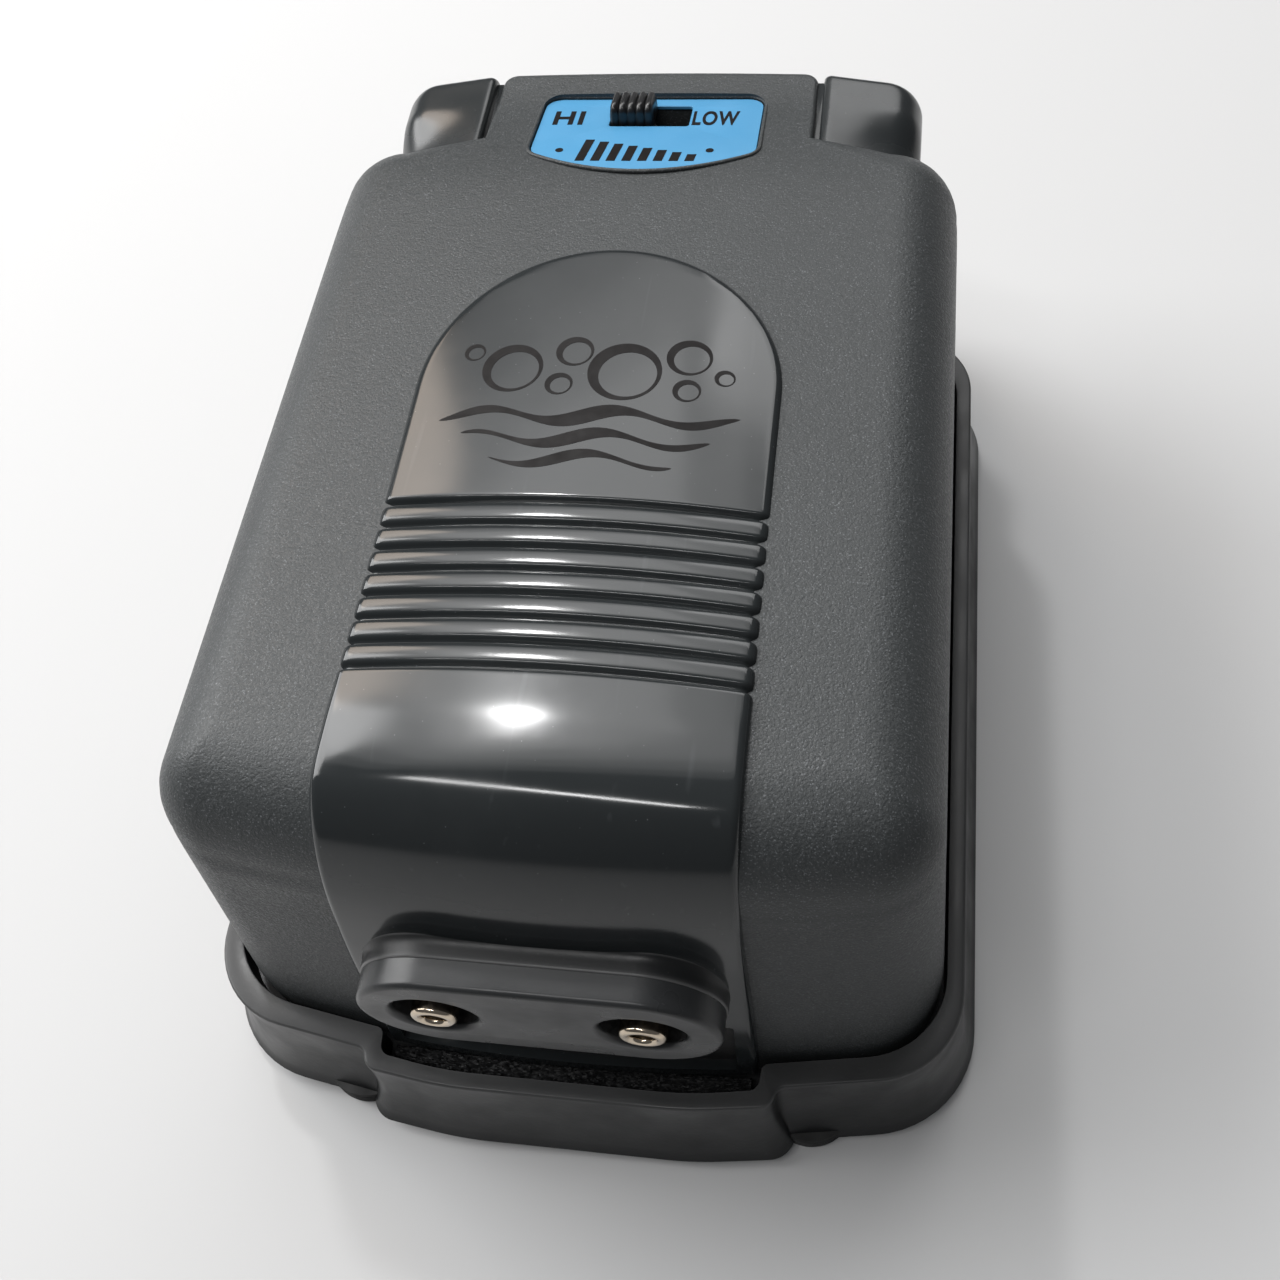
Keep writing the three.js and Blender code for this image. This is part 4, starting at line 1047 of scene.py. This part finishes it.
def build_feet():
    for end in ("front", "rear"):
        for hand in ("left", "right"):
            node = f"foot_{end}_{hand}"
            low, high = box_mm(node)
            radius = (high[0] - low[0]) / 2
            centre = ((low[0] + high[0]) / 2, (low[1] + high[1]) / 2, 0)
            profile = [(0.01, 0.0), (radius - 1.2, 0.0)]
            profile += arc((radius - 1.0, 0.9), 0.85, -70, 0, 5)
            for k in range(3):
                z = 1.3 + k * 0.75
                profile += [(radius - 0.1, z), (radius - 0.55, z + 0.2)]
                profile += [(radius - 0.55, z + 0.45), (radius - 0.1, z + 0.6)]
            profile += [(radius - 0.3, 3.75), (2.3, 3.8), (2.3, 6.1), (0.01, 6.1)]
            foot = turned(f"ribbed_{node}", profile, "z", centre)
            wear(foot, "rubber")
            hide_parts(node)


# ---- Rear bumper ---------------------------------------------------------------------
EAR_FRONT, EAR_OUTER_ROUND, EAR_INNER_ROUND, EAR_REAR_ROUND = 50.0, 4.6, 1.3, 1.8
EAR_CREST = 68.2


def ear_top(x, y):
    """Height of an ear before its edges are rounded: sunk beside the cover, level behind."""
    out = (x - TONGUE_HALF - SLIT) / (EAR_HALF - TONGUE_HALF - SLIT)
    front = EAR_CREST - 6.2 * max(out, 0.0) ** 1.3
    rear = EAR_CREST - 0.2 - 2.4 * out
    rise = float(smooth_step((y - 56.5) / 9.0))
    return front + (rear - front) * rise


def ear_sheet(hand):
    """A grid over one ear: up its outer wall, over the top and down beside the tongue."""
    inner = TONGUE_HALF + SLIT
    low = BUMPER_LOW[2]
    lines = []
    turn_y = BUMPER_REAR - EAR_REAR_ROUND
    rear_turn = np.sin(np.linspace(0, math.pi / 2, 8))[1:]
    for y in [*np.linspace(EAR_FRONT, turn_y, 34), *(turn_y + EAR_REAR_ROUND * rear_turn)]:
        back = max(0.0, y - turn_y)
        sink = EAR_REAR_ROUND - math.sqrt(max(EAR_REAR_ROUND ** 2 - back ** 2, 0))
        plan = 3.5 - math.sqrt(max(3.5 ** 2 - max(0.0, y - BUMPER_REAR + 3.5) ** 2, 0))
        outer = EAR_HALF - plan * 0.8
        line = []
        for z in np.linspace(low, 56.0, 8):
            line.append((outer, z))
        for a in np.linspace(0, math.pi / 2, 12):
            x = outer - EAR_OUTER_ROUND * (1 - math.cos(a))
            top = ear_top(x, y) - sink
            line.append((x, top - EAR_OUTER_ROUND * (1 - math.sin(a))))
        for x in np.linspace(outer - EAR_OUTER_ROUND, inner + EAR_INNER_ROUND, 14)[1:-1]:
            line.append((x, ear_top(x, y) - sink))
        for a in np.linspace(math.pi / 2, 0, 8):
            x = inner + EAR_INNER_ROUND * (1 - math.cos(a))
            line.append((x, ear_top(x, y) - sink - EAR_INNER_ROUND * (1 - math.sin(a))))
        for z in np.linspace(62.0, low, 6):
            line.append((inner, z))
        lines.append([(hand * x, y, z) for x, z in line])
    return lines


def build_bumper():
    points, faces = [], []

    def add(rings):
        start = len(points)
        block_points, block_faces = lofted(rings)
        points.extend(block_points)
        faces.extend(tuple(i + start for i in f) for f in block_faces)

    def slab(half_x, low_y, high_y, low_z, high_z, centre=0.0, edge=0.5, corner=0.8):
        outline = box_corners(half_x, low_y, high_y, corner)
        levels = ((0.0, low_z), (0.0, high_z - edge), (edge * 0.3, high_z - edge * 0.3), (edge, high_z))
        rings = []
        for drop, z in levels:
            rings.append([(x + centre, y, z) for x, y in rounded_outline(outline, -drop, 6, 8)])
        add(rings)

    for hand in (-1, 1):
        add(ear_sheet(hand))
        slab(0.9, 56.0, BUMPER_REAR - 0.5, 54.0, 66.0, hand * (TONGUE_HALF + SLIT / 2), 0.2, 0.3)
    slab(TONGUE_HALF + SLIT + 0.4, 56.0, BUMPER_REAR - 0.7, BUMPER_LOW[2], TONGUE_LOW - 0.6)
    bumper = mesh_piece("rear_ears", points, faces, sharp_deg=42)
    wear(bumper, "gloss", SATIN)
    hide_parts("rear_bumper")


# ---- Outlets -------------------------------------------------------------------------
def pill_outline(half, tall, grow=0.0, steps=40):
    flat = half - tall
    tall = tall + grow
    return arc((flat, 0), tall, -90, 90, steps) + arc((-flat, 0), tall, 90, 270, steps)


def build_outlets():
    centre_z = (BLOCK_LOW[2] + BLOCK_HIGH[2]) / 2
    half, tall = BLOCK_HIGH[0], (BLOCK_HIGH[2] - BLOCK_LOW[2]) / 2
    front, rear = BLOCK_LOW[1], BLOCK_HIGH[1]
    step = front + 3.9
    spots = []
    for hand in ("left", "right"):
        low, high = box_mm(f"outlet_nozzle_{hand}")
        spots.append(((low[0] + high[0]) / 2, low[1], high[1]))
    recess = 5.5
    holes = [arc((x, 0), recess, 0, 360 - 7.5, 48) for x, _, _ in spots]

    def to_front(points):
        return [(x, -z, y + centre_z) for x, y, z in points]

    pill = pill_outline(half, tall)
    face = plate_with_holes("outlet_face", pill, holes, -rear, -front, 0.85, to_front, steps=6)
    wear(face, "block")
    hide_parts("outlet_block")
    flange = [(0.1, step - 0.1), (0.2, step), (0.22, step + 0.3), (0.2, step + 1.2), (0.28, step + 1.8),
              (0.5, step + 2.4), (0.9, step + 2.9), (0.9, rear), (-0.4, rear), (-0.4, step - 0.1)]
    rings = [[(x, y, z + centre_z) for x, z in pill_outline(half, tall, grow)] for grow, y in flange]
    points, faces = lofted(rings, (False, False))
    around = len(rings[0])
    last = (len(rings) - 1) * around
    faces += [(last + i, last + (i + 1) % around, (i + 1) % around, i) for i in range(around)]
    collar = mesh_piece("outlet_collar", points, faces, sharp_deg=50)
    # Painted shade: the collar is part of the block, yet wears the darker tray plastic, standing in for the
    # contact shade where the block meets the strip.
    wear(collar, "block", MATERIALS["tray"])
    for (x, tip, _), hand in zip(spots, ("left", "right")):
        inside, outside = recess - 0.02, recess + 0.5
        cup = [(0.01, front + 5.0), (inside, front + 5.0), (inside, front + 0.8), (outside, front + 0.8),
               (outside, front + 6.2), (0.01, front + 6.2)]
        floor = turned(f"recess_floor_{hand}", cup, "y", (x, 0, centre_z), around=64)
        wear(floor, "rubber", GASKET)
        radius, bore, lip = 2.98, 1.6, 0.62
        tube = [(0.01, tip + 7.0), (bore, tip + 7.0), (bore, tip + lip)]
        tube += arc((bore + lip, tip + lip), lip, 180, 270, 9)[1:]
        tube += arc((radius - lip, tip + lip), lip, -90, 0, 9)[1:]
        tube += [(radius, tip + 12), (0.01, tip + 12)]
        nozzle = turned(f"nozzle_{hand}", tube, "y", (x, 0, centre_z), around=72)
        wear(nozzle, "chrome")
        # Painted shade: a black foam plug a little way down the bore stands in for the shade deep inside it.
        plug = [(0.01, tip + 1.5), (bore - 0.02, tip + 1.5), (bore - 0.02, tip + 6.9), (0.01, tip + 6.9)]
        bore_shade_plug = turned(f"nozzle_bore_shade_{hand}", plug, "y", (x, 0, centre_z), around=32)
        wear(bore_shade_plug, "rubber", GASKET)
        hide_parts(f"outlet_nozzle_{hand}")


# ---- Output control ------------------------------------------------------------------
def build_knob():
    half = (KNOB_HIGH[0] - KNOB_LOW[0]) / 2
    centre = (KNOB_HIGH[0] + KNOB_LOW[0]) / 2
    deep, base, top = 2.8, -0.9, 2.6
    ribs = 5
    columns = np.linspace(-half, half, 90)
    rings = []
    middle = SLOT_Y + 0.3
    for x in columns:
        phase = (x / half + 1) / 2 * ribs
        rib = abs(math.sin(math.pi * phase)) ** 0.45
        end = float(smooth_step((half - abs(x)) / 0.5))
        lift = (top - 0.75 * (1 - rib)) * (0.9 + 0.1 * end)
        reach = (deep - 0.25 * (1 - rib)) * (0.94 + 0.06 * end)
        loop = [(-reach, base), (reach, base), (reach, lift - 1.5)]
        loop += arc((reach - 1.3, lift - 1.3), 1.3, 0, 90, 8)
        loop += arc((-reach + 1.3, lift - 1.3), 1.3, 90, 180, 8)
        loop += [(-reach, lift - 1.5)]
        rings.append(on_label([(x + centre, y + middle, z) for y, z in loop]))
    points, faces = lofted(rings)
    knob = mesh_piece("slider_grip", points, faces, "speed_slider", 35)
    wear(knob, "knob")
    section = rounded_outline(box_corners(1.9, SLOT_Y - 1.3, SLOT_Y + 1.3, 0.3), 0, 4, 2)
    stem_rings = [on_label([(x + centre, y, z) for x, y in section]) for z in (-6.0, 0.0)]
    stem = mesh_piece("slider_stem", *lofted(stem_rings), "speed_slider")
    wear(stem, "knob")
    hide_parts("speed_knob")


def printed(name, text, x, y, wide, tall, bold=0.045):
    """Lettering on the label as a thin raised print of a given width and height."""
    curve = bpy.data.curves.new(name, "FONT")
    curve.body = text
    curve.offset = bold
    curve.space_character = 1.12
    curve.extrude = 0.05
    solid, faces = curve_solid(curve)
    low, high = solid.min(0), solid.max(0)
    solid = (solid - (low + high) / 2) / (high - low) * (wide, tall, PRINT_THICK) + (x, y, LABEL_FACE)
    piece = mesh_piece(name, on_label(solid), faces)
    wear(piece, "knob", INK)


def build_markings():
    """HI and LOW, with a generic wedge of bars that grows toward HI and a dot at each side."""
    printed("mark_hi", "HI", -13.0, 4.9, 4.8, 4.3, 0.03)
    printed("mark_low", "LOW", 10.3, 4.8, 7.2, 4.5, 0.028)
    points, faces = [], []

    def patch(outline):
        start = len(points)
        levels = (LABEL_FACE - PRINT_THICK / 2, LABEL_FACE + PRINT_THICK / 2)
        patch_points, patch_faces = lofted([on_label([(x, y, z) for x, y in outline]) for z in levels])
        points.extend(patch_points)
        faces.extend(tuple(i + start for i in face) for face in patch_faces)

    bars, bar_half, foot = 8, 0.7, -8.4
    for i in range(bars):
        x = -9.2 + 2.4 * i
        height = 6.4 - 4.4 * i / (bars - 1)
        top, crest = x + 0.12 * height, foot + height
        patch([(x - bar_half, foot), (x + bar_half, foot), (top + bar_half, crest), (top - bar_half, crest)])
    for x in (-12.8, 10.4):
        turns = np.linspace(0, 2 * math.pi, 25)[:-1]
        patch([(x + 0.62 * math.cos(a), -5.2 + 0.62 * math.sin(a)) for a in turns])
    wedge = mesh_piece("mark_wedge", points, faces)
    wear(wedge, "knob", INK)


# ---- Stage ---------------------------------------------------------------------------
def build_stage():
    floor_mesh = bpy.data.meshes.new("floor")
    half = 3.0
    corners = [(-half, -half, 0), (half, -half, 0), (half, half, 0), (-half, half, 0)]
    floor_mesh.from_pydata(corners, [], [(0, 1, 2, 3)])
    floor = bpy.data.objects.new("floor", floor_mesh)
    bpy.context.collection.objects.link(floor)
    m = Nodes("pale_floor", (0.52, 0.52, 0.52), 0.8, Specular_IOR_Level=0.2)
    m.tint(m.ramp(m.noise(3.0, 3.0), 0, 0.2, 0.3, 0.8), (0.5, 0.5, 0.5))
    floor_mesh.materials.append(m.material)


def area_light(name, place, target, size, power, color=(1, 1, 1)):
    light = bpy.data.lights.new(name, "AREA")
    light.shape = "RECTANGLE"
    light.size, light.size_y = size
    light.energy = power
    light.color = color
    holder = bpy.data.objects.new(name, light)
    holder.location = place
    direction = Vector(target) - Vector(place)
    holder.rotation_euler = direction.to_track_quat("-Z", "Y").to_euler()
    bpy.context.collection.objects.link(holder)


def build_lights():
    world = bpy.data.worlds.new("studio")
    bpy.context.scene.world = world
    bpy.context.scene.view_settings.view_transform = "Standard"
    world.use_nodes = True
    world.node_tree.nodes["Background"].inputs["Color"].default_value = (0.93, 0.95, 1.0, 1)
    world.node_tree.nodes["Background"].inputs["Strength"].default_value = 0.12
    middle = (0, 0, 0.04)
    area_light("left_key", (-1.0, 0.25, 0.8), middle, (0.9, 0.9), 20)
    for i, share in enumerate((1.0, 0.8, 0.6, 0.4)):
        size = (1.25 * share, 0.95 * share)
        area_light(f"ceiling_{i}", (-0.22, 0.55, 1.0 - 0.004 * i), middle, size, 2.35 * share)
    area_light("rear_fill", (0.34, 1.15, 1.0), middle, (0.6, 0.6), 3.6)
    area_light("left_rear", (-0.8, 0.86, 1.0), middle, (0.36, 0.36), 2.2, (1.0, 0.84, 0.7))
    area_light("lamp", (-0.27, 0.5, 1.0), middle, (0.07, 0.07), 2.6)
    area_light("front_lamp", (-0.17, -0.33, 1.0), middle, (0.6, 0.045), 2.5)


def build_camera():
    """The photograph's view: down and back onto the pump, rolled a little."""
    data = bpy.data.cameras.new("camera")
    data.lens = 41.5
    data.sensor_width = 36
    camera = bpy.data.objects.new("camera", data)
    camera.location = (0.0374, -0.1265, 0.2203)
    camera.rotation_euler = Euler([math.radians(a) for a in (31.82, 5.82, 7.09)], "XYZ")
    bpy.context.collection.objects.link(camera)
    bpy.context.scene.camera = camera


build_camera()
build_stage()
build_lights()
dress_cad_nodes()
build_cover()
build_label()
build_strip()
build_pocket_shade()
build_emblem()
build_tray()
build_gasket()
build_feet()
build_bumper()
build_outlets()
build_knob()
build_markings()
